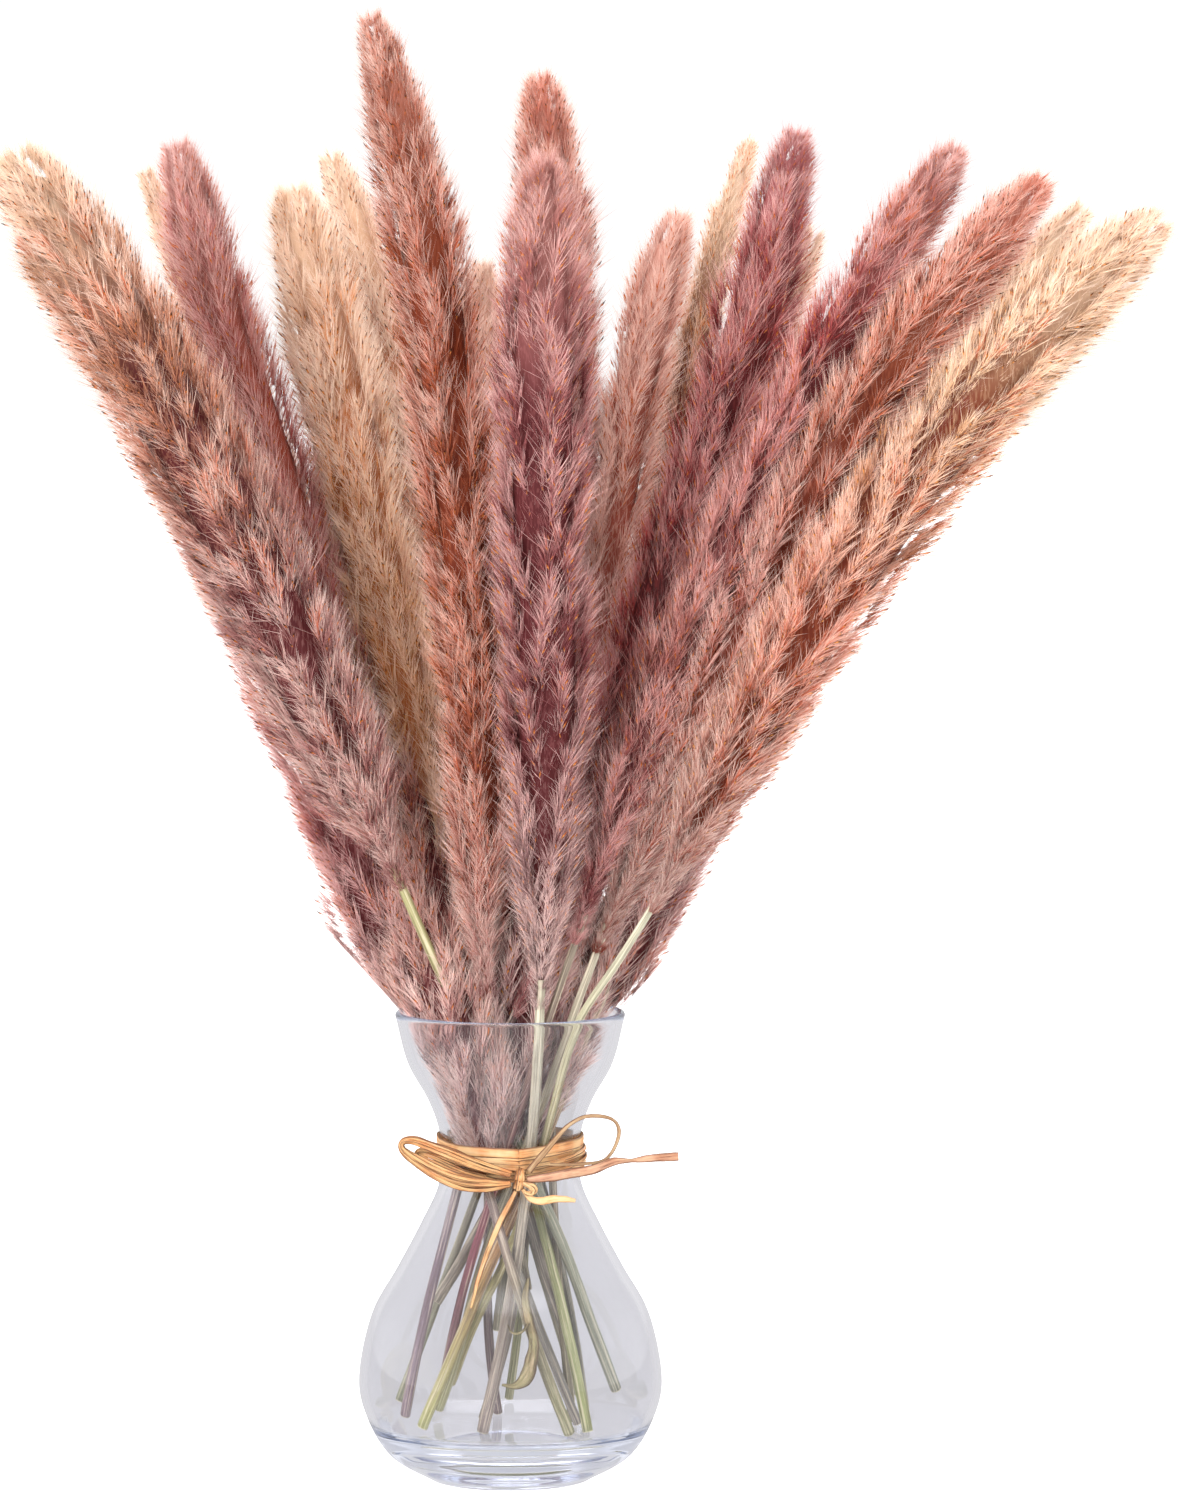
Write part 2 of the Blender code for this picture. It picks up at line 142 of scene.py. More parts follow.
def flows(node):
    """What each open output of a node gives, by its name."""
    return {socket.name: Flow(socket) for socket in node.outputs if socket.enabled}


def flow(tree, kind, *values, **settings):
    """What the first open output of a new node gives."""
    return next(iter(flows(add_node(tree, kind, *values, **settings)).values()))


def tree_of(*values):
    return next(value.tree for value in values if isinstance(value, Flow))


def calc(operation, *values, clamp=False):
    """One step of arithmetic, with directions where any of the values is one."""
    if any(map(is_direction, values)):
        return flow(tree_of(*values), "ShaderNodeVectorMath", *values, operation=operation)
    return flow(tree_of(*values), "ShaderNodeMath", *values, operation=operation,
                use_clamp=clamp)


def split(direction):
    """The three numbers of a direction or place."""
    return tuple(flows(add_node(direction.tree, "ShaderNodeSeparateXYZ", direction)).values())


def mixed(share, one, other):
    """A colour between two others."""
    return flow(tree_of(share, one, other), "ShaderNodeMix", share, one, other,
                data_type="RGBA")


def mapped(value, low, high, start=0.0, end=1.0):
    """A number moved from one range to another, and kept inside it."""
    return flow(value.tree, "ShaderNodeMapRange", value, low, high, start, end)


def new_material(name):
    made = bpy.data.materials.new(name)
    made.use_nodes = True
    tree = made.node_tree
    return made, tree, tree.nodes["Principled BSDF"], tree.nodes["Material Output"]


FLOOR_RADIUS, FLOOR_SIDES = 12.0, 96
FLOOR_WHITE, FLOOR_LIGHT, FLOOR_GLOW_SEEN = (0.97, 0.97, 0.97, 1), 0.25, 0.3
ROOM_WHITE, ROOM_LIGHT = 1.05, (0.59, 0.59, 0.60, 1)
PURE_WHITE = (1, 1, 1, 1)
# What the glass mirrors of the room: its colours from the floor up, and between which
# heights, or how far to the sides, one turns into the next.
SEEN_BELOW, SEEN_AROUND = (0.76, 0.75, 0.774, 1), (0.85, 0.845, 0.862, 1)
SEEN_BESIDE, SEEN_OVERHEAD = (1.3, 1.3, 1.33, 1), (6.0, 6.0, 6.1, 1)
TURN_AROUND, TURN_BESIDE, TURN_OVERHEAD = (-0.2, 0.5), (0.66, 0.96), (0.75, 0.95)
# Each lamp's place, size in metres and power in watts.
LAMPS = {
    "lamp_left": ((-1.5, -1.8, 1.35), 1.3, 86.0),
    "lamp_right": ((1.8, -1.4, 0.9), 1.3, 35.0),
    "lamp_back": ((1.0, 1.7, 1.1), 0.9, 20.0),
}
LAMPS_AIM = (0.02, 0, 0.22)
floor_mesh = bpy.data.meshes.new("floor")
floor_build = bmesh.new()
bmesh.ops.create_circle(floor_build, cap_ends=True, segments=FLOOR_SIDES,
                        radius=FLOOR_RADIUS)
floor_build.to_mesh(floor_mesh)
floor_build.free()
floor = bpy.data.objects.new("floor", floor_mesh)
bpy.context.collection.objects.link(floor)
floor_paint, floor_nodes, floor_shader, floor_end = new_material("floor_paint")
for socket, value in (("Base Color", FLOOR_WHITE), ("Roughness", 0.9),
                      ("Specular IOR Level", 0.1), ("Emission Color", PURE_WHITE)):
    floor_shader.inputs[socket].default_value = value
ray = flows(add_node(floor_nodes, "ShaderNodeLightPath"))
calc("MULTIPLY_ADD", ray["Is Camera Ray"], FLOOR_GLOW_SEEN, FLOOR_LIGHT).into(
    floor_shader.inputs["Emission Strength"])
floor_plain = calc("MAXIMUM", ray["Is Camera Ray"], ray["Is Diffuse Ray"])
floor_glow = flow(floor_nodes, "ShaderNodeEmission", SEEN_BELOW, 1.0)
flow(floor_nodes, "ShaderNodeMixShader", floor_plain, floor_glow,
     Flow(floor_shader.outputs[0])).into(floor_end.inputs["Surface"])
floor_mesh.materials.append(floor_paint)
shielded = bpy.data.collections.new("shielded")
for name, (place, size, power) in LAMPS.items():
    lamp_data = bpy.data.lights.new(name, "AREA")
    lamp_data.shape = "SQUARE"
    lamp_data.size = size
    lamp_data.energy = power
    lamp = bpy.data.objects.new(name, lamp_data)
    lamp.location = place
    lamp.rotation_euler = aim(place, LAMPS_AIM)
    lamp.light_linking.receiver_collection = shielded
    bpy.context.collection.objects.link(lamp)
room = bpy.data.worlds.new("room")
room.use_nodes = True
room_nodes = room.node_tree
room_end = room_nodes.nodes["Background"].inputs
ray = flows(add_node(room_nodes, "ShaderNodeLightPath"))
across, _, up = split(flows(add_node(room_nodes, "ShaderNodeTexCoord"))["Generated"])
in_glass = mixed(mapped(up, *TURN_AROUND), SEEN_BELOW, SEEN_AROUND)
in_glass = mixed(mapped(calc("ABSOLUTE", across), *TURN_BESIDE), in_glass, SEEN_BESIDE)
in_glass = mixed(mapped(up, *TURN_OVERHEAD), in_glass, SEEN_OVERHEAD)
room_colour = mixed(ray["Is Diffuse Ray"], in_glass, ROOM_LIGHT)
mixed(ray["Is Camera Ray"], room_colour, PURE_WHITE).into(room_end["Color"])
room_end["Strength"].default_value = ROOM_WHITE
bpy.context.scene.world = room
bpy.context.scene.view_settings.view_transform = "Standard"


# ---- Vase ----------------------------------------------------------------------------
# A blown bulb vase of clear glass with a thick floor, a narrow neck and a flared cup.
# It is turned from one profile; its wall is even, and the rim is melted round.
def new_tree(name, kind, inputs, outputs=(("Geometry", "Geometry"),)):
    """A named node tree with its inputs as (name, kind, value) and outputs as (name, kind)."""
    tree = bpy.data.node_groups.new(name, kind)
    for label, socket, value in inputs:
        made = tree.interface.new_socket(label, in_out="INPUT",
                                         socket_type="NodeSocket" + socket)
        if value is not None:
            made.default_value = value
    for label, socket in outputs:
        tree.interface.new_socket(label, in_out="OUTPUT", socket_type="NodeSocket" + socket)
    given = flows(add_node(tree, "NodeGroupInput"))
    return tree, given, add_node(tree, "NodeGroupOutput").inputs


def shape_of(guide):
    """The shape of an object that is handed to a tree."""
    return flows(add_node(guide.tree, "GeometryNodeObjectInfo", guide))["Geometry"]


def sheet(tree, columns, rows):
    """A grid to be bent round a piece, and the row and column of each of its corners."""
    count = flow(tree, "GeometryNodeInputIndex")
    grid = flows(add_node(tree, "GeometryNodeMeshGrid", 1.0, 1.0, columns, rows))
    return grid, count % rows, calc("FLOOR", count / rows)


def joined(x, y, z):
    return flow(tree_of(x, y, z), "ShaderNodeCombineXYZ", x, y, z)


def noise(place, scale, detail, roughness=None):
    return flow(place.tree, "ShaderNodeTexNoise", place, scale, detail, roughness)


def placed(geometry, place, which=None):
    return flow(geometry.tree, "GeometryNodeSetPosition", geometry, which, place)


def merged(geometry, distance=1e-6):
    return flow(geometry.tree, "GeometryNodeMergeByDistance", geometry, None, distance)


def end_tree(geometry, finish, result):
    """The last steps of every tree: real geometry, shaded smooth, with its material."""
    smooth = flow(geometry.tree, "GeometryNodeSetShadeSmooth", geometry)
    real = flow(geometry.tree, "GeometryNodeRealizeInstances", smooth)
    flow(geometry.tree, "GeometryNodeSetMaterial", real, None, finish).into(result["Geometry"])


def made_by(tree, name, sizes):
    """A plain mesh object from a Geometry Nodes tree and its named inputs. An input that
    is not given keeps the tree's own value."""
    made = bpy.data.objects.new(name, bpy.data.meshes.new(name + "_empty"))
    maker = made.modifiers.new("maker", "NODES")
    maker.node_group = tree
    for item in tree.interface.items_tree:
        if item.item_type == "SOCKET" and item.in_out == "INPUT" and item.name in sizes:
            maker[item.identifier] = sizes[item.name]
    bpy.context.collection.objects.link(made)
    evaluated = made.evaluated_get(bpy.context.evaluated_depsgraph_get())
    mesh = bpy.data.meshes.new_from_object(evaluated)
    mesh.name = name
    made.modifiers.remove(maker)
    empty = made.data
    made.data = mesh
    bpy.data.meshes.remove(empty)
    return made


def smooth_line(points, per_span):
    """Points of a smooth curve through the given ones, per_span for each span."""
    rail = [np.array(p, float) for p in points]
    rail = [2 * rail[0] - rail[1]] + rail + [2 * rail[-1] - rail[-2]]
    made = []
    for a, b, c, d in zip(rail, rail[1:], rail[2:], rail[3:]):
        for t in np.arange(per_span) / per_span:
            made.append(0.5 * (2 * b + (c - a) * t + (2 * a - 5 * b + 4 * c - d) * t ** 2
                               + (3 * b - 3 * c + d - a) * t ** 3))
    made.append(rail[-2])
    return np.array(made)


def add_spline(data, points, radii=None):
    spline = data.splines.new("POLY")
    spline.points.add(len(points) - 1)
    for k, point in enumerate(points):
        spline.points[k].co = (*point, 1.0)
        spline.points[k].radius = 1.0 if radii is None else radii[k]


def make_guide(name, points, radii=None):
    """A curve in metres that a tree follows; it is removed when the piece is made."""
    data = bpy.data.curves.new(name, "CURVE")
    data.dimensions = "3D"
    add_spline(data, points, radii)
    return bpy.data.objects.new(name, data)


MM = 0.001
GLASS_OUTLINE = (
    (26.0, 0.0), (39.0, 7.8), (46.4, 20.0), (48.8, 33.0), (44.7, 52.9), (36.3, 68.2),
    (28.6, 82.7), (22.8, 96.0), (22.6, 110.5), (26.2, 122.0), (33.0, 134.5), (36.9, 149.5),
)
GLASS_WALL = 2.4
GLASS_FLOOR = ((0.0, 12.4), (12.0, 12.4), (24.0, 12.5), (31.0, 12.9), (36.0, 14.0))
FOOT_HOLLOW = ((22.5, 0.05), (20.5, 0.7), (16.0, 1.3), (8.0, 1.6), (0.0, 1.7))
INNER_CORNER = 3.4  # how far above its floor the inner wall begins
RIM_STEPS, GLASS_SIDES = 10, 160
outside = smooth_line(GLASS_OUTLINE, 9)
slope = np.gradient(outside, axis=0)
slope /= np.linalg.norm(slope, axis=1, keepdims=True)
inside = outside + GLASS_WALL * np.stack([-slope[:, 1], slope[:, 0]], 1)
inside = inside[inside[:, 1] > GLASS_FLOOR[-1][1] + INNER_CORNER]
rim_middle = (outside[-1] + inside[-1]) / 2
rim_turn = np.linspace(0, math.pi, RIM_STEPS + 2)[1:-1]
rim = rim_middle + np.stack([np.cos(rim_turn), np.sin(rim_turn)], 1) * GLASS_WALL / 2
inner_floor = smooth_line([*GLASS_FLOOR, inside[0]], 5)[:-1]
foot_hollow = smooth_line([GLASS_OUTLINE[0], *FOOT_HOLLOW], 4)[1:]
glass_profile = np.concatenate([foot_hollow[::-1], outside, rim, inside[::-1],
                                inner_floor[::-1]])
glass_profile[-1, 0] = glass_profile[0, 0] = 0.0

turning, given, result = new_tree("turning", "GeometryNodeTree", [
    ("Profile", "Object", None), ("Rows", "Int", 100), ("Sides", "Int", GLASS_SIDES),
    ("Finish", "Material", None)])
grid, row, side = sheet(turning, given["Sides"] + 1.0, given["Rows"])
angle = side / given["Sides"] * math.tau
point = flow(turning, "GeometryNodeSampleIndex", shape_of(given["Profile"]),
             flow(turning, "GeometryNodeInputPosition"), row,
             data_type="FLOAT_VECTOR", domain="POINT")
reach, _, rise = split(point)
ring = joined(reach * calc("COSINE", angle), reach * calc("SINE", angle), rise)
end_tree(merged(placed(grid["Mesh"], ring)), given["Finish"], result)

FOOT_TINT, NECK_TINT = (0.91, 0.91, 0.93, 1), (0.955, 0.955, 0.965, 1)
THROUGH_TINT, DEPTH_TINT, DEPTH_DENSITY = (0.93, 0.93, 0.95, 1), (0.70, 0.76, 0.88, 1), 7.5
glass, glass_nodes, glass_shader, glass_end = new_material("clear_glass")
glass_shader.inputs["Transmission Weight"].default_value = 1.0
glass_shader.inputs["IOR"].default_value = 1.5
where = flows(add_node(glass_nodes, "ShaderNodeTexCoord"))["Object"]
mixed(mapped(split(where)[2], 0.09, 0.13), FOOT_TINT, NECK_TINT).into(
    glass_shader.inputs["Base Color"])
mapped(noise(where, 90.0, 3.0), 0.5, 0.8, 0.0, 0.005).into(glass_shader.inputs["Roughness"])
ray = flows(add_node(glass_nodes, "ShaderNodeLightPath"))
flow(glass_nodes, "ShaderNodeMixShader",
     calc("MAXIMUM", ray["Is Shadow Ray"], ray["Is Diffuse Ray"]), Flow(glass_shader.outputs[0]),
     flow(glass_nodes, "ShaderNodeBsdfTransparent", THROUGH_TINT)).into(
         glass_end.inputs["Surface"])
flow(glass_nodes, "ShaderNodeVolumeAbsorption", DEPTH_TINT, DEPTH_DENSITY).into(
    glass_end.inputs["Volume"])
# Light turns many times inside the thick glass floor before it leaves it.
cycles = bpy.context.scene.cycles
cycles.max_bounces, cycles.transmission_bounces, cycles.glossy_bounces = 100, 90, 90
cycles.diffuse_bounces = 7

profile_guide = make_guide("profile", [(r * MM, 0.0, z * MM) for r, z in glass_profile])
vase = made_by(turning, "vase_glass", {
    "Profile": profile_guide, "Rows": len(glass_profile), "Finish": glass})
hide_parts("vase")
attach(vase, "root")
bpy.data.objects.remove(profile_guide)
shielded.objects.link(vase)
shielded.collection_objects[0].light_linking.link_state = "EXCLUDE"


# ---- Stems ---------------------------------------------------------------------------
# Cut reed stalks, bare and finely grooved, stand on the glass floor and lean across
# each other through the neck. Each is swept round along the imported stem's middle, cut
# square at the foot, with its own greens and browns from foot to top.
def ring_middles(node, rings):
    """The middle and mean radius of each ring of corners of a packed stem or plume."""
    corners = np.array(sorted({tuple(np.round(v.co, 7)) for v in
                               bpy.data.objects[node].data.vertices}))
    spread = corners - corners.mean(0)
    lengthwise = np.linalg.svd(spread, full_matrices=False)[2][0]
    order = np.argsort(spread @ lengthwise * np.sign(lengthwise[2]))
    groups = [corners[part] for part in np.array_split(order, rings)]
    middles = np.array([group.mean(0) for group in groups])
    radii = [np.linalg.norm(g - m, axis=1).mean() for g, m in zip(groups, middles)]
    return middles, np.array(radii)


def guide_along(node, rings, per_span):
    """A guide through the middle of a packed stem or plume, with its radii."""
    middles, radii = ring_middles(node, rings)
    line = smooth_line(middles, per_span)
    steps = np.linspace(0, rings - 1, len(line))
    return make_guide(node + "_guide", line, np.interp(steps, np.arange(rings), radii))


def spoke(at, angle):
    """The direction square to a guide, at an angle about it."""
    across = calc("CROSS_PRODUCT", at["Tangent"], at["Normal"])
    return at["Normal"] * calc("COSINE", angle) + across * calc("SINE", angle)


def sampled(guide, share, value=None):
    """A guide's place, directions and radius at a share of its length."""
    return flows(add_node(guide.tree, "GeometryNodeSampleCurve", guide, value, share,
                          mode="FACTOR", data_type="FLOAT", use_all_curves=True))


def keep_map(geometry, across, along):
    """Keeps a map of the surface, across and along it, for its colours."""
    return flow(geometry.tree, "GeometryNodeStoreNamedAttribute", geometry, None, "OFBake",
                joined(across, along, 0.0), data_type="FLOAT2", domain="CORNER")


def kept_map(tree):
    """The two numbers of the map of the surface, for a colour."""
    return split(flow(tree, "ShaderNodeUVMap", uv_map="OFBake"))[:2]


def paint(*rgb):
    """A colour given as red, green and blue from 0 to 255, made linear."""
    share = np.array(rgb) / 255
    return (*np.where(share < 0.04045, share / 12.92, ((share + 0.055) / 1.055) ** 2.4), 1.0)


def look_of(tree, group, *values):
    """A colour group set in a material, with its own values in order."""
    return flows(add_node(tree, "ShaderNodeGroup", *values, node_tree=group))


FIBRE_DEPTH = 0.0003


def dress(shader, look, relief, dull, gloss):
    """Leads the colour, the relief and the gloss of a fibrous finish to its shader."""
    look["Color"].into(shader.inputs["Base Color"])
    flow(look["Color"].tree, "ShaderNodeBump", relief, FIBRE_DEPTH, None,
         look["Height"]).into(shader.inputs["Normal"])
    mapped(look["Height"], 0.3, 0.7, dull, gloss).into(shader.inputs["Roughness"])


def shut_ends(row, last_row, foot=1.0):
    """What draws the first and the last row of a sheet in to a point."""
    return (calc("MULTIPLY", row, foot, clamp=True)
            * calc("SUBTRACT", last_row, row, clamp=True))


STEM_RINGS, STEM_ROWS = 8, 60
stalking, given, result = new_tree("stalking", "GeometryNodeTree", [
    ("Middle", "Object", None), ("Rows", "Int", STEM_ROWS), ("Sides", "Int", 24),
    ("Grooves", "Float", 8.0), ("Groove depth", "Float", 0.06), ("Finish", "Material", None)])
grid, row, side = sheet(stalking, given["Sides"] + 1.0, given["Rows"])
angle = side / given["Sides"] * math.tau
last_row = given["Rows"] - 1.0
share = calc("DIVIDE", row - 1.0, last_row - 2.0, clamp=True)
at = sampled(shape_of(given["Middle"]), share, flow(stalking, "GeometryNodeInputRadius"))
groove = calc("COSINE", angle * given["Grooves"]) * given["Groove depth"]
width = groove + 0.97 + mapped(noise(at["Position"], 70.0, 1.0), 0.3, 0.7, -0.03, 0.03)
reach = at["Value"] * width * shut_ends(row, last_row, foot=0.97)
stalk = placed(grid["Mesh"], at["Position"] + spoke(at, angle) * reach)
stalk = keep_map(stalk, *split(grid["UV Map"])[:2])
end_tree(merged(stalk), given["Finish"], result)

PALE_FIBRE, DARK_FIBRE = (0.72, 0.62, 0.46, 1), (0.07, 0.035, 0.02, 1)
CUT_PITH = (0.72, 0.66, 0.47, 1)
stalk_colour, given, result = new_tree("stalk colour", "ShaderNodeTree", [
    ("Foot", "Color", None), ("Middle", "Color", None), ("Top", "Color", None),
    ("Streaks", "Float", 0.5)], [("Color", "Color"), ("Height", "Float")])
across, along = kept_map(stalk_colour)
angle = across * math.tau
fibre_place = joined(calc("COSINE", angle), calc("SINE", angle), along * 2.2)
fibres = noise(fibre_place, 2.6, 4.0, 0.7)
blotches = noise(fibre_place, 1.7, 2.0)
bark = mixed(mapped(along, 0.0, 0.35), given["Foot"], given["Middle"])
bark = mixed(mapped(along, 0.45, 0.85), bark, given["Top"])
pale, dark = mixed(0.65, bark, PALE_FIBRE), mixed(0.75, bark, DARK_FIBRE)
bark = mixed(mapped(fibres, 0.5, 0.61) * given["Streaks"], bark, pale)
bark = mixed(mapped(fibres, 0.48, 0.37) * given["Streaks"], bark, dark)
bark = mixed(mapped(blotches, 0.55, 0.8, 0.0, 0.45), bark, dark)
bark = mixed(mapped(along, 1.0 / STEM_ROWS, 1.15 / STEM_ROWS, 1.0, 0.0), bark, CUT_PITH)
bark.into(result["Color"])
fibres.into(result["Height"])

# Foot, middle and top of each stalk, then how strongly it is streaked.
STALKS = (
    ((124, 128, 110), (124, 128, 104), (146, 140, 96), 0.7),
    ((104, 106, 94), (106, 104, 88), (146, 134, 110), 0.8),
    ((140, 146, 92), (132, 136, 88), (112, 106, 82), 0.8),
    ((122, 114, 102), (118, 110, 98), (118, 108, 90), 0.7),
    ((116, 114, 92), (118, 112, 88), (116, 104, 82), 0.6),
    ((108, 90, 92), (100, 84, 86), (112, 94, 84), 0.7),
    ((118, 114, 94), (118, 110, 88), (116, 102, 82), 0.6),
    ((134, 136, 90), (130, 130, 88), (112, 102, 82), 0.8),
    ((128, 116, 108), (134, 124, 108), (168, 163, 142), 0.8),
    ((116, 112, 88), (116, 106, 84), (118, 102, 82), 0.6),
    ((118, 110, 96), (118, 106, 92), (118, 100, 84), 0.6),
    ((124, 106, 114), (100, 80, 90), (102, 82, 80), 0.8),
    ((126, 130, 104), (114, 108, 88), (112, 96, 80), 0.6),
    ((124, 106, 106), (124, 54, 68), (134, 122, 106), 0.8),
    ((146, 148, 100), (134, 126, 96), (166, 158, 138), 0.8),
    ((158, 162, 100), (152, 112, 68), (166, 160, 138), 0.9),
    ((152, 144, 84), (146, 138, 88), (170, 167, 144), 0.8),
    ((112, 108, 100), (112, 108, 98), (116, 102, 90), 0.6),
    ((130, 120, 102), (126, 114, 96), (118, 102, 86), 0.8),
    ((128, 128, 92), (124, 118, 88), (130, 110, 100), 0.6),
    ((118, 110, 88), (114, 106, 86), (118, 96, 88), 0.7),
)
for number, (foot, midway, top, streaks) in enumerate(STALKS, 1):
    node = f"stem_{number:02d}"
    bark, bark_nodes, bark_shader, _ = new_material(node + "_bark")
    dress(bark_shader, look_of(bark_nodes, stalk_colour, paint(*foot), paint(*midway),
                               paint(*top), streaks), 0.35, 0.42, 0.62)
    guide = guide_along(node, STEM_RINGS, 8)
    stalk = made_by(stalking, f"stalk_{number:02d}", {"Middle": guide, "Finish": bark})
    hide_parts(node)
    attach(stalk, "root")
    bpy.data.objects.remove(guide)


# ---- Plumes --------------------------------------------------------------------------
# Each reed ends in a fluffy plume: about a hundred short sprigs lean out from the stalk,
# each a string of small dark husks from which silky hairs stand out. The bunch is dyed
# from cream and straw to terracotta, mauve and plum; painted shade darkens the fluff
# between the sprigs and towards the hair roots.
TUFT_KINDS = 6
LOCK_TONES = (-1, -1, 0, 0, 1, 2)
LOCK_HAIRS = 2
LOCK_SPREAD = 0.09
SIDE_SILK = (3, 3)
FRINGE_SILK = (1,) * 10
HAIR_LENGTH = (6.0, 9.5)
SILK_LENGTH = (8.0, 13.5)
HAIR_WIDTH, SILK_WIDTH = 0.17, 0.115
STRING_STEP = 2.3
HUSK_FOOT, HUSK_MIDDLE, HUSK_TIP = (1.8, 0.1, 2.2), (2.3, 0.4, 3.6), (2.7, 0.8, 5.1)
HUSK_WIDTH = 0.29
SHADES, SILK_BAND, HUSK_BAND, WARM_BAND, BANDS = 5, 5, 6, 7, 8
KIND_BASE = 10
PLUME_RINGS = 10
HUSKS_PER_SPRIG, FLUFF_TRIANGLES = 12, 945000
# The plume's radius along its length, as shares of its length and of its girth.
PLUME_SHAPE = ((0.0, 0.2), (0.05, 0.55), (0.1, 0.8), (0.18, 0.94), (0.35, 1.0),
               (0.65, 1.0), (0.82, 0.95), (0.92, 0.76), (0.97, 0.48), (1.0, 0.06))
PLUME_FOOT, CUP_FOOT = 13.0, 5.0  # how far the fluff reaches down over its stalk


def tuft(number):
    """One husk with its hairs: its string runs along Z, X points out of the plume, and even
    and odd ones face to either side. The hairs stand in pointed locks, each lighter or
    darker than the next, with long pale silk between them."""
    chance = np.random.default_rng(40 + number)
    side = 1 - 2 * (number % 2)
    points, faces, places, kinds = [], [], [], []

    def add_hair(root, ahead, length, width, kind):
        across = np.cross(ahead, (1.0, 0.0, 0.0) + chance.normal(0, 1.0 if kind > 5 else 0.45, 3))
        across *= width * MM / np.linalg.norm(across)
        bend = np.array([0.1, 0.0, 0.2]) * length * chance.uniform(-0.4, 0.9)
        first = len(points)
        points.extend([root + across, root - across, root + ahead * length + bend])
        faces.append((first, first + 1, first + 2))
        places.extend([(1, 0), (0, 0), (0.5, 1)])
        kinds.append(kind)

    def add_lock(lean, way, length, hairs, width, kind):
        lean, way = math.radians(lean), math.radians(way) * side
        ahead = np.array([math.sin(lean) * math.cos(way), math.sin(lean) * math.sin(way),
                          math.cos(lean)])
        root = np.array([chance.normal(0, 0.4), chance.normal(0, 0.6),
                         chance.uniform(-STRING_STEP / 2, STRING_STEP / 2)]) * MM
        for _ in range(hairs):
            add_hair(root + chance.normal(0, 0.2, 3) * MM,
                     ahead + chance.normal(0, LOCK_SPREAD, 3),
                     length * chance.uniform(0.75, 1.05) * MM, width, kind)

    for tone in LOCK_TONES:
        add_lock(chance.uniform(3, 21), chance.normal(55, 35), chance.uniform(*HAIR_LENGTH),
                 LOCK_HAIRS, HAIR_WIDTH, tone)
    for hairs in SIDE_SILK:
        add_lock(chance.uniform(8, 26), chance.normal(60, 35), chance.uniform(*SILK_LENGTH),
                 hairs, SILK_WIDTH, KIND_BASE + SILK_BAND)
    for hairs in FRINGE_SILK:
        add_lock(chance.uniform(16, 42), chance.normal(10, 45), chance.uniform(*SILK_LENGTH),
                 hairs, SILK_WIDTH, KIND_BASE + SILK_BAND)
    first = len(points)
    foot, ring, tip = (np.array(p) * (1, side, 1) for p in (HUSK_FOOT, HUSK_MIDDLE, HUSK_TIP))
    points.extend([foot * MM, tip * MM])
    points.extend((ring + HUSK_WIDTH * np.array([math.cos(a), math.sin(a), 0.0])) * MM
                  for a in (0, math.tau / 3, math.tau * 2 / 3))
    for a, b in ((2, 3), (3, 4), (4, 2)):
        faces.extend([(first + b, first + a, first), (first + a, first + b, first + 1)])
        places.extend([(1, 0.45), (0, 0.45), (0.5, 0), (0, 0.45), (1, 0.45), (0.5, 1)])
    kinds.extend([KIND_BASE + HUSK_BAND] * 6)
    mesh = bpy.data.meshes.new(f"tuft_{number}")
    mesh.from_pydata([tuple(p) for p in points], [], faces)
    mesh.uv_layers.new(name="hair").data.foreach_set("uv", np.array(places, float).ravel())
    mesh.attributes.new("kind", "FLOAT", "FACE").data.foreach_set("value", kinds)
    return bpy.data.objects.new(f"tuft_{number}", mesh)


tufts = bpy.data.collections.new("tufts")
for number in range(TUFT_KINDS):
    tufts.objects.link(tuft(number))

pluming, given, result = new_tree("pluming", "GeometryNodeTree", [
    ("Middle", "Object", None), ("Outline", "Object", None), ("Glass", "Object", None),
    ("Tufts", "Collection", None), ("Sprigs", "Int", 110), ("Husks", "Int", HUSKS_PER_SPRIG),
    ("Sprig length", "Float", 0.13), ("Tip room", "Float", 0.007), ("Fullness", "Float", 0.85),
    ("Fringe", "Float", 0.0028), ("Glass gap", "Float", 0.0035),
    ("Rim height", "Float", GLASS_OUTLINE[-1][1] * MM), ("Inner lean", "Float", 0.16),
    ("Outer lean", "Float", 0.34), ("Warm share", "Float", 0.5), ("Painted shade share", "Float", 0.5),
    ("Seed", "Int", 0), ("Finish", "Material", None)])
middle, outline, glass_wall = (shape_of(given[name]) for name in ("Middle", "Outline", "Glass"))
seed = given["Seed"]


def chance_of(low, high, each, more):
    """A random number for each thing of a count, different for each use of it."""
    return flow(pluming, "FunctionNodeRandomValue", low, high, each, seed + float(more),
                data_type="FLOAT")


def kept(geometry, name, value):
    return flow(pluming, "GeometryNodeStoreNamedAttribute", geometry, None, name, value,
                data_type="FLOAT", domain="POINT")


def read(name, kind="FLOAT"):
    return flow(pluming, "GeometryNodeInputNamedAttribute", name, data_type=kind)


def either(test, no, yes):
    """One number or another, as a test says."""
    return flow(pluming, "GeometryNodeSwitch", test, no, yes, input_type="FLOAT")


RAY_REACH = 0.08  # further than any wall is from a stalk


def room_to(target, start, direction, when_clear=RAY_REACH):
    """How far it is from a place to a surface, and whether there is one at all."""
    ray = flows(add_node(pluming, "GeometryNodeRaycast", target, None, start, direction,
                         RAY_REACH, data_type="FLOAT"))
    return either(ray["Is Hit"], when_clear, ray["Hit Distance"]), ray["Is Hit"]


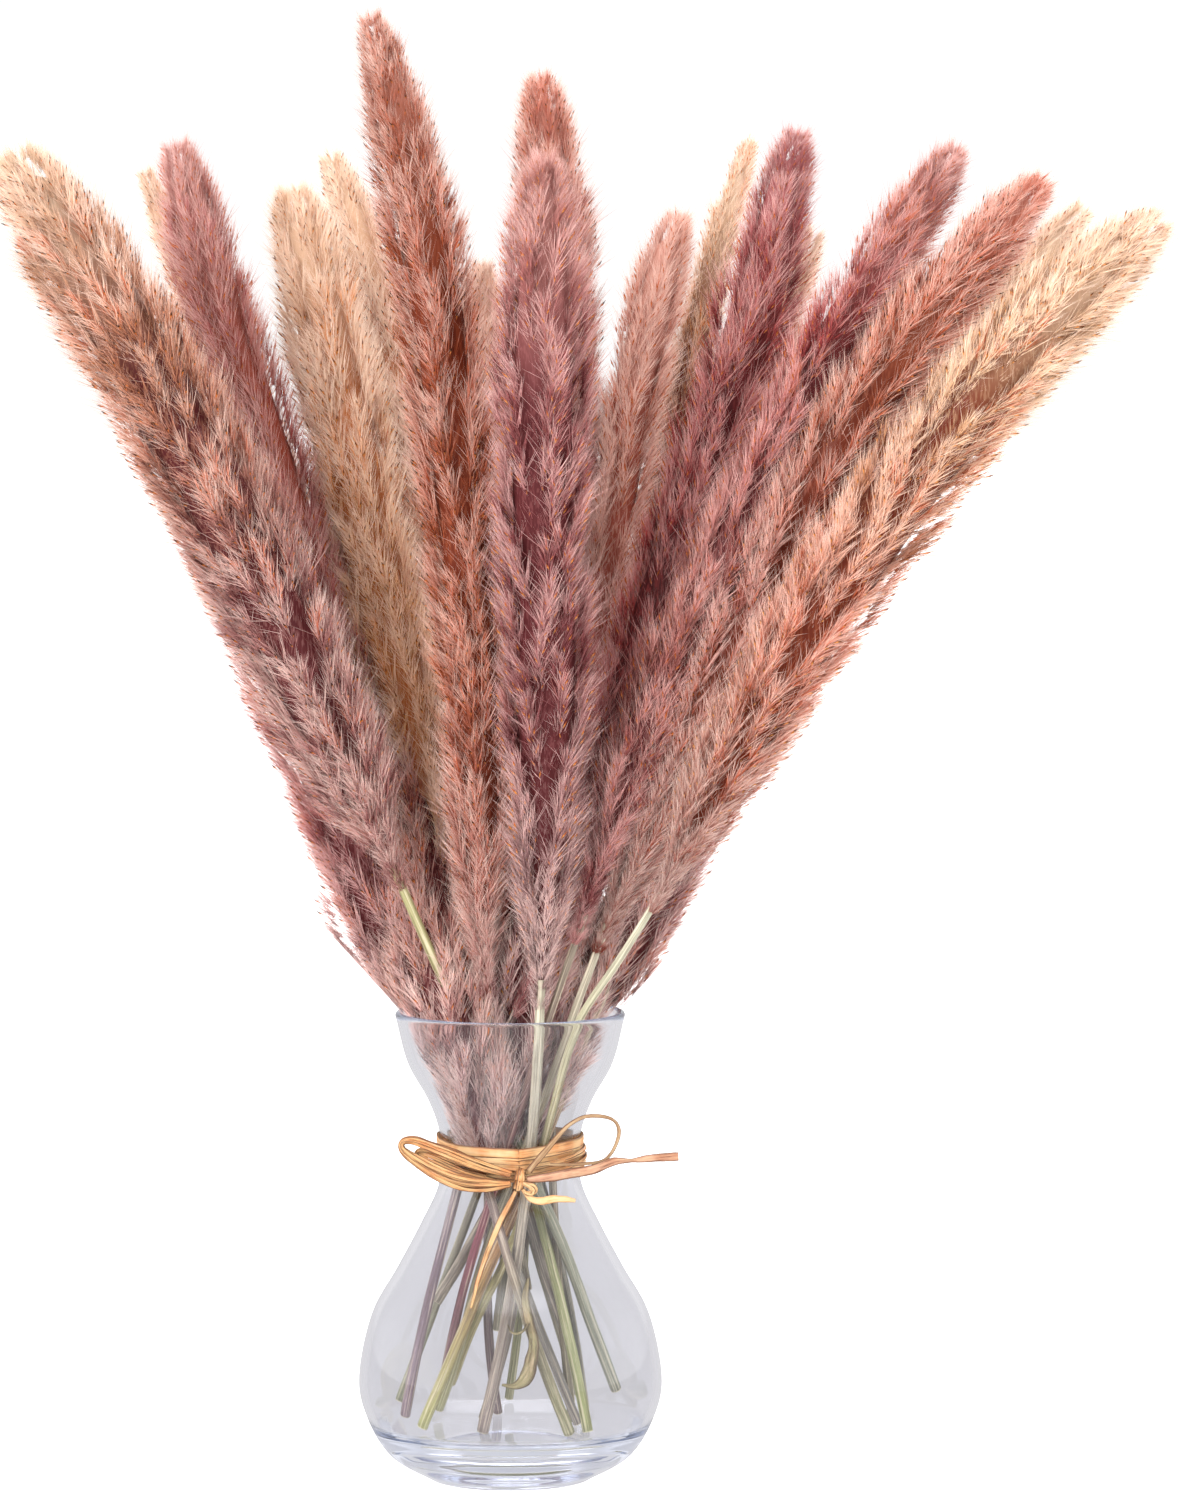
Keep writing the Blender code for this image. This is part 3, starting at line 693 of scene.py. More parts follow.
# Husks sit in strings on sprigs, which stand round the stalk in a golden spiral.
GOLDEN_TURN = 2.399963
FIRST_SPRIG, LAST_SPRIG = -0.03, 0.93
PAINTED_SHADE_STEPS = (-0.11, -0.05, 0.02, 0.09)  # where one step of painted shade turns into the next
count = flow(pluming, "GeometryNodeInputIndex")
girth_there = flow(pluming, "GeometryNodeInputRadius")
sprig = calc("FLOOR", count / given["Husks"])
husk = count % given["Husks"]
step = husk / (given["Husks"] - 1.0)
last_share = calc("SUBTRACT", 1.0,
                  given["Tip room"] / flow(pluming, "GeometryNodeCurveLength", middle))
start = mapped((sprig + chance_of(0.0, 1.0, sprig, 1)) / given["Sprigs"], 0.0, 1.0,
               FIRST_SPRIG, LAST_SPRIG)
sprig_length = calc("MINIMUM", given["Sprig length"] * chance_of(0.75, 1.3, sprig, 2),
                    last_share - start)
share = calc("MULTIPLY_ADD", sprig_length, step, start, clamp=True)
bend = chance_of(-0.5, 0.5, sprig, 3)
angle = sprig * GOLDEN_TURN + calc("MULTIPLY_ADD", bend, step * 0.9,
                                   chance_of(-0.35, 0.35, sprig, 4))
at = sampled(middle, share, girth_there)
outward = spoke(at, angle)
sideways = calc("CROSS_PRODUCT", at["Tangent"], outward)
own_room = calc("MAXIMUM", room_to(outline, at["Position"], outward, 0.002)[0],
                at["Value"] * given["Fullness"])
wall_room, by_glass = room_to(glass_wall, at["Position"], outward)
room_there = calc("MINIMUM", own_room, calc("MAXIMUM", wall_room - given["Glass gap"], 0.001))
husk_reach = calc("MAXIMUM", room_there - given["Fringe"], room_there * 0.5) * (
    mapped(step, 0.0, 0.6, 0.4, 1.0) * chance_of(0.92, 1.05, count, 5))
place = at["Position"] + outward * husk_reach
slimming = mapped(share, 0.8, 1.0, 1.0, 0.32) * either(by_glass, 1.0, 0.45)
lean = mapped(step, 0.0, 1.0, given["Inner lean"], given["Outer lean"])
lean = (lean + chance_of(-0.08, 0.08, count, 6)) * slimming
odd = husk % 2.0
swing = mapped(odd, 0.0, 1.0, 0.12, -0.12) + calc(
    "MULTIPLY_ADD", bend, 0.3, chance_of(-0.05, 0.05, count, 7))
ahead = at["Tangent"] * calc("COSINE", lean) + outward * calc("SINE", lean) + sideways * swing
rotation = flow(pluming, "FunctionNodeAxesToRotation", ahead, outward,
                primary_axis="Z", secondary_axis="X")
size = chance_of(0.8, 1.2, count, 8) * (mapped(room_there, 0.003, 0.012, 0.6, 1.05)
                                        * mapped(share, 0.86, 1.0, 1.0, 0.8))
# Painted shade: a noise sorts the husks into patches, from deep painted shade as between the sprigs,
# through plain, to pale; the painted shade share sets how much lies in shade.
light = noise(place, 105.0, 1.5) + chance_of(-0.1, 0.1, count, 9) - given["Painted shade share"]
deep, shaded, plain, pale = (light > limit for limit in PAINTED_SHADE_STEPS)
tone = deep + shaded + plain + pale
warm_noise = noise(place + (3.1, 1.7, 0.4), 42.0, 1.0)
tone = either((given["Warm share"] > warm_noise) * (tone > 0.5), tone, float(WARM_BAND))
points = flow(pluming, "GeometryNodePoints", given["Sprigs"] * given["Husks"], place)
points = kept(kept(points, "share", share), "tone", tone)
pick = calc("FLOOR", chance_of(0.0, TUFT_KINDS / 2 - 0.01, count, 10))
tufted = flow(pluming, "GeometryNodeInstanceOnPoints", points, None,
              flow(pluming, "GeometryNodeCollectionInfo", given["Tufts"], True, True), True,
              calc("MULTIPLY_ADD", pick, 2.0, odd), rotation, size)
fluff = flow(pluming, "GeometryNodeRealizeInstances", tufted)

# Hairs that would pass through the glass lie against it, and just above the rim they
# spread out again.
HAIR_GAP, RIM_SPREAD, RIM_ZONE = 0.0006, 0.9, 0.03
x_there, y_there, z_there = split(flow(pluming, "GeometryNodeInputPosition"))
flat_spot, axis_spot = joined(x_there, y_there, 0.0), joined(0.0, 0.0, z_there)
low_spot = joined(0.0, 0.0, calc("MINIMUM", z_there, given["Rim height"] - 0.001))
above_rim = calc("MAXIMUM", z_there - given["Rim height"], 0.0)
glass_room = calc("MULTIPLY_ADD", above_rim, RIM_SPREAD,
                  room_to(glass_wall, low_spot, flat_spot)[0])
held_in = calc("MINIMUM", 1.0, (glass_room - HAIR_GAP) / calc("LENGTH", flat_spot))
fluff = placed(fluff, axis_spot + flat_spot * held_in, z_there < given["Rim height"] + RIM_ZONE)

# Each hair's band of colours, from its own kind and the tone of its husk.
kind, tone = read("kind"), read("tone")
in_warm = tone > WARM_BAND - 0.5
plain_tone = either(in_warm, tone, 2.0)
shade = calc("MINIMUM", calc("MAXIMUM", plain_tone + kind, 0.0), SHADES - 1.0)
warm_lock = in_warm * (calc("ABSOLUTE", kind) < 1.5)
shade = either(warm_lock, shade, float(WARM_BAND))
band = either(kind > 5.0, shade, kind - float(KIND_BASE))
# Silk in the patches of painted shade takes the plain dye, not its pale colour.
dark_silk = (plain_tone < 1.5) * calc("COMPARE", kind, float(KIND_BASE + SILK_BAND), 0.5)
band = either(dark_silk, band, 2.0)
hair_across, up_hair, _ = split(read("hair", "FLOAT_VECTOR"))
map_across = calc("MULTIPLY_ADD", hair_across - 0.5, 0.006,
                  mapped(read("share"), 0.0, 1.0, 0.004, 0.996))
map_along = (band + mapped(up_hair, 0.0, 1.0, 0.06, 0.94)) / float(BANDS)
fluff = keep_map(fluff, map_across, map_along)
for name in ("share", "tone", "kind", "hair"):
    fluff = flow(pluming, "GeometryNodeRemoveAttribute", fluff, name)

# The stalk's core of packed fluff, which closes the view between the hairs. It is coloured with the
# deepest painted shade.
CORE_ROWS, CORE_SIDES, CORE_GAP = 40, 12, 0.005
grid, row, side = sheet(pluming, CORE_SIDES + 1, CORE_ROWS)
share = mapped(row, 0.0, CORE_ROWS - 1.0, 0.0, 0.96)
at = sampled(middle, share, girth_there)
outward = spoke(at, side / float(CORE_SIDES) * math.tau)
core_room = calc("MAXIMUM", room_to(outline, at["Position"], outward, 0.001)[0],
                 at["Value"] * given["Fullness"])
wall_room = room_to(glass_wall, at["Position"], outward)[0]
core_room = calc("MINIMUM", core_room, calc("MAXIMUM", wall_room - CORE_GAP, 0.0005))
core_reach = core_room * mapped(share, 0.03, 0.25, 0.2, 0.62) * shut_ends(row, CORE_ROWS - 1.0)
core = placed(grid["Mesh"], at["Position"] + outward * core_reach)
along, around, _ = split(grid["UV Map"])
core = merged(keep_map(core, around, mapped(along, 0.0, 1.0, 0.1 / BANDS, 0.6 / BANDS)))
whole = add_node(pluming, "GeometryNodeJoinGeometry", fluff)
core.into(whole.inputs[0])
end_tree(Flow(whole.outputs[0]), given["Finish"], result)

plume_colour, given, result = new_tree("plume colour", "ShaderNodeTree", [
    (label, "Color", None) for label in ("Base", "Middle", "Upper", "Tip", "Warm", "Painted shade",
                                         "Silk", "Husk", "Husk tip")], [("Color", "Color")])
along, banded = kept_map(plume_colour)
banded = banded * float(BANDS)
band, up_hair = calc("FLOOR", banded), calc("FRACT", banded)
in_silk, in_husk, in_warm = (calc("COMPARE", band, float(number), 0.5)
                             for number in (SILK_BAND, HUSK_BAND, WARM_BAND))
dyed = mixed(mapped(along, 0.05, 0.35), given["Base"], given["Middle"])
dyed = mixed(mapped(along, 0.4, 0.7), dyed, given["Upper"])
dyed = mixed(mapped(along, 0.74, 0.96), dyed, given["Tip"])
warmed = mixed(mapped(along, 0.1, 0.3, 0.2, 0.85), dyed, given["Warm"])
hair_place = flows(add_node(plume_colour, "ShaderNodeTexCoord"))["Object"] * (1.0, 1.0, 0.14)
strands = noise(hair_place, 1500.0, 2.0)
# Painted shade: hairs in the low bands, and along a fine streaky noise, darken towards the painted
# shade colour, which is paler near the tip; this stands for the shade between sprigs and hairs. The
# high bands pale towards the silk.
shadow = calc("ADD", mapped(band, 0.0, 2.0, 0.85, 0.0),
              mapped(strands, 0.38, 0.62, 0.38, -0.22), clamp=True)
painted_shade = mixed(mapped(along, 0.72, 0.96, 0.0, 0.75), given["Painted shade"], dyed)
hairs = mixed(shadow, dyed, painted_shade)
hairs = mixed(mapped(band, 2.0, 4.0, 0.0, 0.35), hairs, given["Silk"])
hairs = mixed(in_warm, hairs, warmed)
# Painted shade deepens towards the hair roots, deep inside the fluff.
hairs = mixed(mapped(up_hair, 0.05, 0.5, 0.6, 0.0), hairs, painted_shade)
# The hair tips pale towards the silk colour: partly the silk's own paleness, partly a painted
# highlight of light shining through the fringe.
pale_tip_and_highlight = mapped(up_hair, 0.5, 1.0, 0.0, 0.5) * mapped(band, 0.0, 3.0, 0.2, 1.0)
hairs = mixed(pale_tip_and_highlight, hairs, given["Silk"])
silk = mixed(mapped(up_hair, 0.1, 0.9, 0.15, 0.75), dyed, given["Silk"])
hairs = mixed(in_silk, hairs, silk)
husks = mixed(mapped(up_hair, 0.42, 0.58, 0.0, 0.95), given["Husk"], given["Husk tip"])
husks = mixed(mapped(along, 0.03, 0.2, 0.85, 0.0), husks, hairs)
mixed(in_husk, hairs, husks).into(result["Color"])

IVORY, CREAM, STRAW = (231, 198, 178), (241, 212, 182), (239, 200, 155)
OAT, SAND, PEACH = (221, 185, 155), (233, 177, 124), (237, 183, 153)
GOLD, BLUSH, PINK = (227, 159, 97), (239, 187, 169), (204, 143, 133)
SALMON, CORAL, TAWNY = (227, 150, 127), (197, 128, 107), (179, 106, 77)
CLAY, RUST, ROSE = (210, 120, 84), (200, 102, 64), (208, 135, 124)
MAUVE, DAMSON, WINE = (189, 113, 113), (170, 100, 102), (198, 90, 88)
DUSK, ASHEN, UMBER = (193, 135, 129), (212, 187, 182), (154, 82, 71)
# The *_SHADE colours are painted shade, for the fluff deep between the sprigs.
PLUM_SHADE, RUST_SHADE, GOLD_SHADE = (89, 38, 40), (110, 47, 30), (181, 108, 62)
CLAY_SHADE, FAWN = (156, 76, 59), (222, 154, 116)
PALE_SILK, PINK_SILK = (255, 240, 228), (252, 222, 214)
RED_HUSK, BROWN_HUSK, GOLD_HUSK = (222, 138, 80), (212, 126, 64), (226, 156, 86)
BLACK_TIP, BROWN_TIP, RUST_TIP = (34, 20, 18), (112, 60, 34), (184, 96, 50)
# Girth in millimetres, how much of it is warm and how much lies in painted shade, then
# the dyes of its base, middle, upper part, tip and warm patches, the colour of its painted
# shade, then its silk, husks and husk tips.
PLUMES = (
    (20.0, 0.46, 0.52, DUSK, DUSK, FAWN, CREAM, CLAY, PLUM_SHADE, PALE_SILK, BROWN_HUSK, BLACK_TIP),
    (9.0, 0.40, 0.44, PEACH, PEACH, STRAW, OAT, SAND, GOLD_SHADE, PALE_SILK, GOLD_HUSK, BLACK_TIP),
    (15.0, 0.45, 0.46, PEACH, ROSE, ROSE, PINK, MAUVE, CLAY_SHADE, PINK_SILK, RED_HUSK, RUST_TIP),
    (17.0, 0.42, 0.42, SAND, STRAW, CREAM, CREAM, GOLD, GOLD_SHADE, PALE_SILK, GOLD_HUSK, BROWN_TIP),
    (12.0, 0.38, 0.40, ROSE, STRAW, CREAM, CREAM, SAND, GOLD_SHADE, PALE_SILK, BROWN_HUSK, BLACK_TIP),
    (14.0, 0.50, 0.50, DUSK, CLAY, RUST, CORAL, RUST, RUST_SHADE, PALE_SILK, BROWN_HUSK, BLACK_TIP),
    (12.0, 0.40, 0.40, ROSE, PEACH, BLUSH, IVORY, SAND, GOLD_SHADE, PALE_SILK, GOLD_HUSK, BROWN_TIP),
    (15.5, 0.45, 0.50, ROSE, ROSE, ROSE, SALMON, TAWNY, PLUM_SHADE, PALE_SILK, BROWN_HUSK, BLACK_TIP),
    (15.0, 0.34, 0.50, ASHEN, DAMSON, MAUVE, PINK, ROSE, PLUM_SHADE, PINK_SILK, GOLD_HUSK, RUST_TIP),
    (13.0, 0.45, 0.42, SALMON, BLUSH, BLUSH, BLUSH, CLAY, CLAY_SHADE, PALE_SILK, RED_HUSK, RUST_TIP),
    (8.5, 0.45, 0.44, WINE, SALMON, STRAW, CREAM, GOLD, RUST_SHADE, PALE_SILK, GOLD_HUSK, RUST_TIP),
    (14.5, 0.40, 0.50, MAUVE, WINE, WINE, MAUVE, MAUVE, PLUM_SHADE, PINK_SILK, RED_HUSK, RUST_TIP),
    (11.0, 0.40, 0.44, ROSE, ROSE, PEACH, OAT, CORAL, PLUM_SHADE, PALE_SILK, BROWN_HUSK, BROWN_TIP),
    (14.0, 0.40, 0.50, MAUVE, ROSE, WINE, PINK, CLAY, PLUM_SHADE, PINK_SILK, RED_HUSK, RUST_TIP),
    (15.0, 0.54, 0.46, UMBER, ROSE, CLAY, SALMON, RUST, RUST_SHADE, PALE_SILK, RED_HUSK, BLACK_TIP),
    (12.0, 0.42, 0.40, DUSK, PEACH, STRAW, CREAM, SAND, RUST_SHADE, PALE_SILK, BROWN_HUSK, BROWN_TIP),
    (16.5, 0.46, 0.42, UMBER, CLAY, STRAW, CREAM, RUST, RUST_SHADE, PALE_SILK, GOLD_HUSK, BROWN_TIP),
    (16.0, 0.45, 0.46, ASHEN, MAUVE, CLAY, CORAL, CLAY, PLUM_SHADE, PINK_SILK, BROWN_HUSK, BLACK_TIP),
    (18.0, 0.45, 0.46, ASHEN, MAUVE, CLAY, OAT, CLAY, PLUM_SHADE, PALE_SILK, BROWN_HUSK, BROWN_TIP),
    (18.0, 0.40, 0.44, ASHEN, ROSE, CLAY, CLAY, CLAY, PLUM_SHADE, PALE_SILK, BROWN_HUSK, BROWN_TIP),
    (19.0, 0.36, 0.46, ASHEN, MAUVE, MAUVE, MAUVE, ROSE, PLUM_SHADE, PALE_SILK, GOLD_HUSK, BROWN_TIP),
)
TOPWARD_PAINTED_SHADE = (0.99, 0.98, 0.95, 0.94, 0.99, 1.0, 1.0, 1.0, 1.0)  # painted shade, a little deeper towards the top, where the lamps light the plumes more
# Some plumes start inside the cup and fill it; these are their shares of the girth.
IN_THE_CUP = (18, 19, 20, 21)
CUP_SHAPE = ((0.0, 1.1), (0.06, 1.25), (0.2, 1.25), (0.35, 1.0)) + PLUME_SHAPE[5:]
tuft_triangles = len(LOCK_TONES) * LOCK_HAIRS + sum(SIDE_SILK) + sum(FRINGE_SILK) + 6
outlines = []
for number, (girth, *_) in enumerate(PLUMES, 1):
    line = smooth_line(ring_middles(f"plume_{number:02d}", PLUME_RINGS)[0], 6)
    below = (line[0] - line[3]) / np.linalg.norm(line[0] - line[3])
    shape, foot = (CUP_SHAPE, CUP_FOOT) if number in IN_THE_CUP else (PLUME_SHAPE, PLUME_FOOT)
    line = np.concatenate([[line[0] + below * foot * MM], line])
    radii = girth * MM * np.interp(np.linspace(0, 1, len(line)), *zip(*shape))
    surface = (np.linalg.norm(np.diff(line, axis=0), axis=1) * radii[1:]).sum()
    outlines.append((line, radii, surface))
sprigs_per_area = (FLUFF_TRIANGLES / tuft_triangles / HUSKS_PER_SPRIG
                   / sum(surface for *_, surface in outlines))


def let_through(shader, colour, share, end):
    """Lets a share of the light through something thin."""
    glow = flow(colour.tree, "ShaderNodeBsdfTranslucent", colour)
    flow(colour.tree, "ShaderNodeMixShader", share, Flow(shader.outputs[0]), glow).into(
        end.inputs["Surface"])


for number, (_, warm_share, painted_shade_share, *dyes) in enumerate(PLUMES, 1):
    node = f"plume_{number:02d}"
    fluff, fluff_nodes, fluff_shader, fluff_end = new_material(node + "_fluff")
    # Each colour is darkened by its share of painted shade.
    look = look_of(fluff_nodes, plume_colour, *(paint(*(part * depth for part in dye))
                                                for dye, depth in zip(dyes, TOPWARD_PAINTED_SHADE)))
    look["Color"].into(fluff_shader.inputs["Base Color"])
    fluff_shader.inputs["Roughness"].default_value = 0.5
    fluff_shader.inputs["Specular IOR Level"].default_value = 0.12
    let_through(fluff_shader, look["Color"], 0.35, fluff_end)
    line, radii, surface = outlines[number - 1]
    guide = make_guide(node + "_guide", line, radii)
    plume = made_by(pluming, f"fluff_{number:02d}", {
        "Middle": guide, "Outline": bpy.data.objects[node], "Glass": vase, "Tufts": tufts,
        "Sprigs": round(surface * sprigs_per_area), "Warm share": warm_share,
        "Painted shade share": painted_shade_share, "Seed": number * 20, "Finish": fluff})
    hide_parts(node)
    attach(plume, "root")
    bpy.data.objects.remove(guide)
for kind in list(tufts.objects):
    bpy.data.objects.remove(kind)
bpy.data.collections.remove(tufts)


# ---- Raffia --------------------------------------------------------------------------
# Strips of dried palm leaf are wound three times round the neck and knotted at the
# front. They are flat where they are pulled tight and split into crumpled strands at the
# loops; two tails are cut square and one hangs down over the glass.
stripping, given, result = new_tree("stripping", "GeometryNodeTree", [
    ("Middle", "Object", None), ("Edge", "Object", None), ("Strands", "Int", 1),
    ("Rows", "Int", 90), ("Sides", "Int", 16), ("Thickness", "Float", 0.0004),
    ("Crumple", "Float", 0.0004), ("Creases", "Float", 3.0), ("Seed", "Float", 0.0),
    ("Finish", "Material", None)])
middle, edge = shape_of(given["Middle"]), shape_of(given["Edge"])
columns = given["Sides"] + 1.0
last_row = given["Rows"] - 1.0
grid, row, column = sheet(stripping, columns * given["Strands"], given["Rows"])
strand = calc("FLOOR", column / columns)
angle = column % columns / given["Sides"] * math.tau
share = calc("DIVIDE", row - 1.0, last_row - 2.0, clamp=True)
closed_ends = shut_ends(row, last_row)


def strand_at(guide):
    return flows(add_node(stripping, "GeometryNodeSampleCurve", guide, None, share, strand,
                          mode="FACTOR", data_type="FLOAT"))


at = strand_at(middle)
half_width = strand_at(edge)["Position"] - at["Position"]
out_there = calc("NORMALIZE", calc("CROSS_PRODUCT", at["Tangent"], half_width))
across, lift = calc("COSINE", angle), calc("SINE", angle)
lift = calc("SIGN", lift) * calc("POWER", calc("ABSOLUTE", lift), 0.6)
along = share * (flow(stripping, "GeometryNodeCurveLength", middle) / given["Strands"])
strand_seed = calc("MULTIPLY_ADD", strand, 7.31, given["Seed"])


def unevenness(across_scale, along_scale, more):
    """A smooth random height, from -0.5 to 0.5, that runs lengthwise in a strand."""
    spot = joined(across * across_scale, along * along_scale, strand_seed + float(more))
    return noise(spot, 1.0, 2.0) - 0.5


crease = unevenness(given["Creases"], 45.0, 0) * given["Crumple"]
wave = unevenness(0.0, 110.0, 3) * given["Crumple"]
raised = (calc("MULTIPLY_ADD", crease, 3.0, wave * 1.6)
          + lift * closed_ends * (given["Thickness"] * 0.5))
width = across * closed_ends * calc("MULTIPLY_ADD", unevenness(0.7, 160.0, 5), 0.45, 1.0)
strip = placed(grid["Mesh"], at["Position"] + half_width * width + out_there * raised)
strip = keep_map(strip, *split(grid["UV Map"])[:2])
face_column = calc("FLOOR", flow(stripping, "GeometryNodeInputIndex") / last_row)
is_bridge = face_column % columns > given["Sides"] - 0.5
apart = flow(stripping, "GeometryNodeDeleteGeometry", strip, is_bridge, domain="FACE")
end_tree(merged(apart, 1e-7), given["Finish"], result)

GRAIN_AND_HIGHLIGHT = (0.66, 0.50, 0.31, 1)
raffia_colour, given, result = new_tree("raffia colour", "ShaderNodeTree", [
    ("Light", "Color", None), ("Dark", "Color", None), ("Crease", "Color", None),
    ("Strands", "Float", 1.0)], [("Color", "Color"), ("Height", "Float")])
across, along = kept_map(raffia_colour)
in_strand = across * given["Strands"]
strand = calc("FLOOR", in_strand)
fibres = noise(joined(in_strand * 12.0, along * 5.0, strand), 1.0, 4.0, 0.65)
patches = noise(flows(add_node(raffia_colour, "ShaderNodeTexCoord"))["Object"], 130.0, 3.0)
which = flow(raffia_colour, "ShaderNodeTexWhiteNoise", strand, noise_dimensions="1D")
patched = calc("MULTIPLY_ADD", which, 0.5, mapped(patches, 0.42, 0.68, -0.2, 0.9), clamp=True)
strip = mixed(patched, given["Light"], given["Dark"])
# The raised fibres pale towards the grain colour, which is also a painted highlight on them.
strip = mixed(mapped(fibres, 0.5, 0.68, 0.0, 0.6), strip, GRAIN_AND_HIGHLIGHT)
# Painted shade: the grooves between the fibres darken towards the crease colour, along with their own
# dark grain.
strip = mixed(mapped(fibres, 0.46, 0.34, 0.0, 0.8), strip, given["Crease"])
to_edge = calc("ABSOLUTE", calc("COSINE", calc("FRACT", in_strand) * math.tau))
strip = mixed(mapped(to_edge, 0.6, 0.92, 0.0, 0.85), strip, given["Crease"])
strip.into(result["Color"])
fibres.into(result["Height"])


def raffia_finish(name, light, dark, crease, strands, gloss=0.45):
    """Dried strip: satin, grooved lengthwise by its fibres, and a little see-through."""
    made, tree, shader, end = new_material(name)
    look = look_of(tree, raffia_colour, paint(*light), paint(*dark), paint(*crease),
                   float(strands))
    dress(shader, look, 0.6, gloss + 0.2, gloss)
    let_through(shader, look["Color"], 0.2, end)
    return made


def unit(directions):
    return directions / np.linalg.norm(directions, axis=-1, keepdims=True)


def read_along(values, count):
    """The values, which stand evenly along a run, read at a number of points."""
    values = np.array(values, float)
    at = np.linspace(0, len(values) - 1, count)
    if values.ndim == 1:
        return np.interp(at, np.arange(len(values)), values)
    return np.stack([np.interp(at, np.arange(len(values)), values[:, k]) for k in range(3)], 1)


def strand_lines(points, spread, width, facing, strands, seed=0):
    """The middle and the edge of each strand of a run, in metres. The strands lie side by
    side across the run's spread, each wandering a little and one on top of the other."""
    line = smooth_line(points, 5)
    steps = np.linspace(0, 1, len(line))
    facing = read_along(np.reshape(facing, (-1, 3)), len(line))
    across = unit(np.cross(np.gradient(line, axis=0), facing))
    out = unit(facing)
    spread, width = read_along(spread, len(line)), read_along(width, len(line))
    chance = np.random.default_rng(seed)
    made = []
    for k in range(strands):
        place = 0.0 if strands == 1 else 2 * k / (strands - 1) - 1
        wander = sum(chance.normal(0, 0.22) / n * np.sin(n * math.pi * steps + chance.uniform(0, 6))
                     for n in (2, 3, 5, 8)) * (strands > 1)
        layer = 0.35 * (k % 2) + 0.12 * k * (strands > 1)
        middle = line + across * (place * spread + wander)[:, None] + out * layer
        tilt = (strands > 1) * (chance.normal(0, 0.35)
                                + 0.5 * np.sin(math.tau * (steps * 2.3 + chance.uniform(0, 1))))
        half = (across * np.cos(tilt)[:, None] + out * np.sin(tilt)[:, None]) * (
            width / 2 * chance.uniform(0.8, 1.1))[:, None]
        made.append((middle * MM, (middle + half) * MM))
    return made


def make_strips(name, lines, finish, rows, crumple=0.4, thickness=0.4, creases=3.0, sides=16):
    """One raffia piece from the middles and edges of its strands."""
    guides = []
    for part, which in (("middle", 0), ("edge", 1)):
        guide = make_guide(f"{name}_{part}", lines[0][which])
        for line in lines[1:]:
            add_spline(guide.data, line[which])
        guides.append(guide)
    made = made_by(stripping, name, {
        "Middle": guides[0], "Edge": guides[1], "Strands": len(lines), "Rows": rows,
        "Sides": sides, "Thickness": thickness * MM, "Crumple": crumple * MM,
        "Creases": creases, "Seed": float(sum(map(ord, name)) % 97), "Finish": finish})
    for guide in guides:
        bpy.data.objects.remove(guide)
    return made


# Wraps: each strand's width, distance from the vase's middle, and heights at the knot,
# front right, right, back, left and front left.
TAN, ORANGE, BROWN = (222, 182, 130), (208, 142, 84), (84, 42, 20)
ROSY, ROSE_BROWN, STRAW_PALE = (196, 150, 120), (172, 118, 88), (214, 186, 138)
WRAP_STOPS = (-83, -35, 0, 90, 180, 220, 277)
WRAPS = {
    "raffia_wrap_upper": ((3.3, 23.5, (107.9, 109.3, 109.7, 110.2, 109.8, 108.4)),
                          (2.2, 23.3, (106.4, 107.6, 108.0, 108.6, 107.8, 106.8))),
    "raffia_wrap_middle": ((1.9, 23.3, (104.8, 106.4, 107.0, 106.4, 106.8, 106.0)),
                           (1.5, 23.9, (103.6, 105.2, 106.1, 105.6, 105.6, 104.8)),
                           (1.4, 23.4, (102.6, 104.4, 105.2, 104.6, 104.8, 103.8)),
                           (1.1, 24.1, (103.0, 105.8, 107.2, 107.0, 106.2, 104.4))),
    "raffia_wrap_lower": ((1.8, 23.3, (101.4, 103.2, 104.0, 103.6, 103.2, 102.0)),
                          (1.6, 24.0, (100.4, 101.9, 102.8, 102.4, 102.2, 101.0)),
                          (1.5, 23.5, (99.4, 100.7, 101.7, 101.2, 101.0, 100.0)),
                          (1.1, 24.4, (100.2, 102.8, 104.6, 103.8, 102.6, 101.4))),
}
WRAP_POINTS = 40
KNOT_BULGE, BULGE_TURN = 1.1, 9.0  # how far the ends stand out at the knot, over what turn
for node, strands in WRAPS.items():
    lines = []
    for width, radius, heights in strands:
        turn = np.linspace(WRAP_STOPS[0], WRAP_STOPS[-1], WRAP_POINTS + 1)
        rise = smooth_line([(h,) for h in (*heights, heights[0])], 8)[:, 0]
        stops = np.interp(np.linspace(0, 6, len(rise)), np.arange(7), WRAP_STOPS)
        height = np.interp(turn, stops, rise)
        radial = np.stack([np.cos(np.radians(turn)), np.sin(np.radians(turn)), 0 * turn], 1)
        from_knot = np.minimum(turn - turn[0], turn[-1] - turn)
        bulge = KNOT_BULGE * np.exp(-(from_knot / BULGE_TURN) ** 2)
        middle = radial * (radius + bulge)[:, None] + np.outer(height, (0, 0, 1))
        half = np.array([0, 0, width / 2])
        lines.append((middle * MM, (middle + half) * MM))
    flat = node == "raffia_wrap_upper"
    finish = raffia_finish(node + "_strip", TAN, ORANGE, BROWN, len(lines))
    wrap = make_strips(node + "_strands", lines, finish, 150, 0.25 if flat else 0.75)
    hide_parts(node)
    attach(wrap, "root")

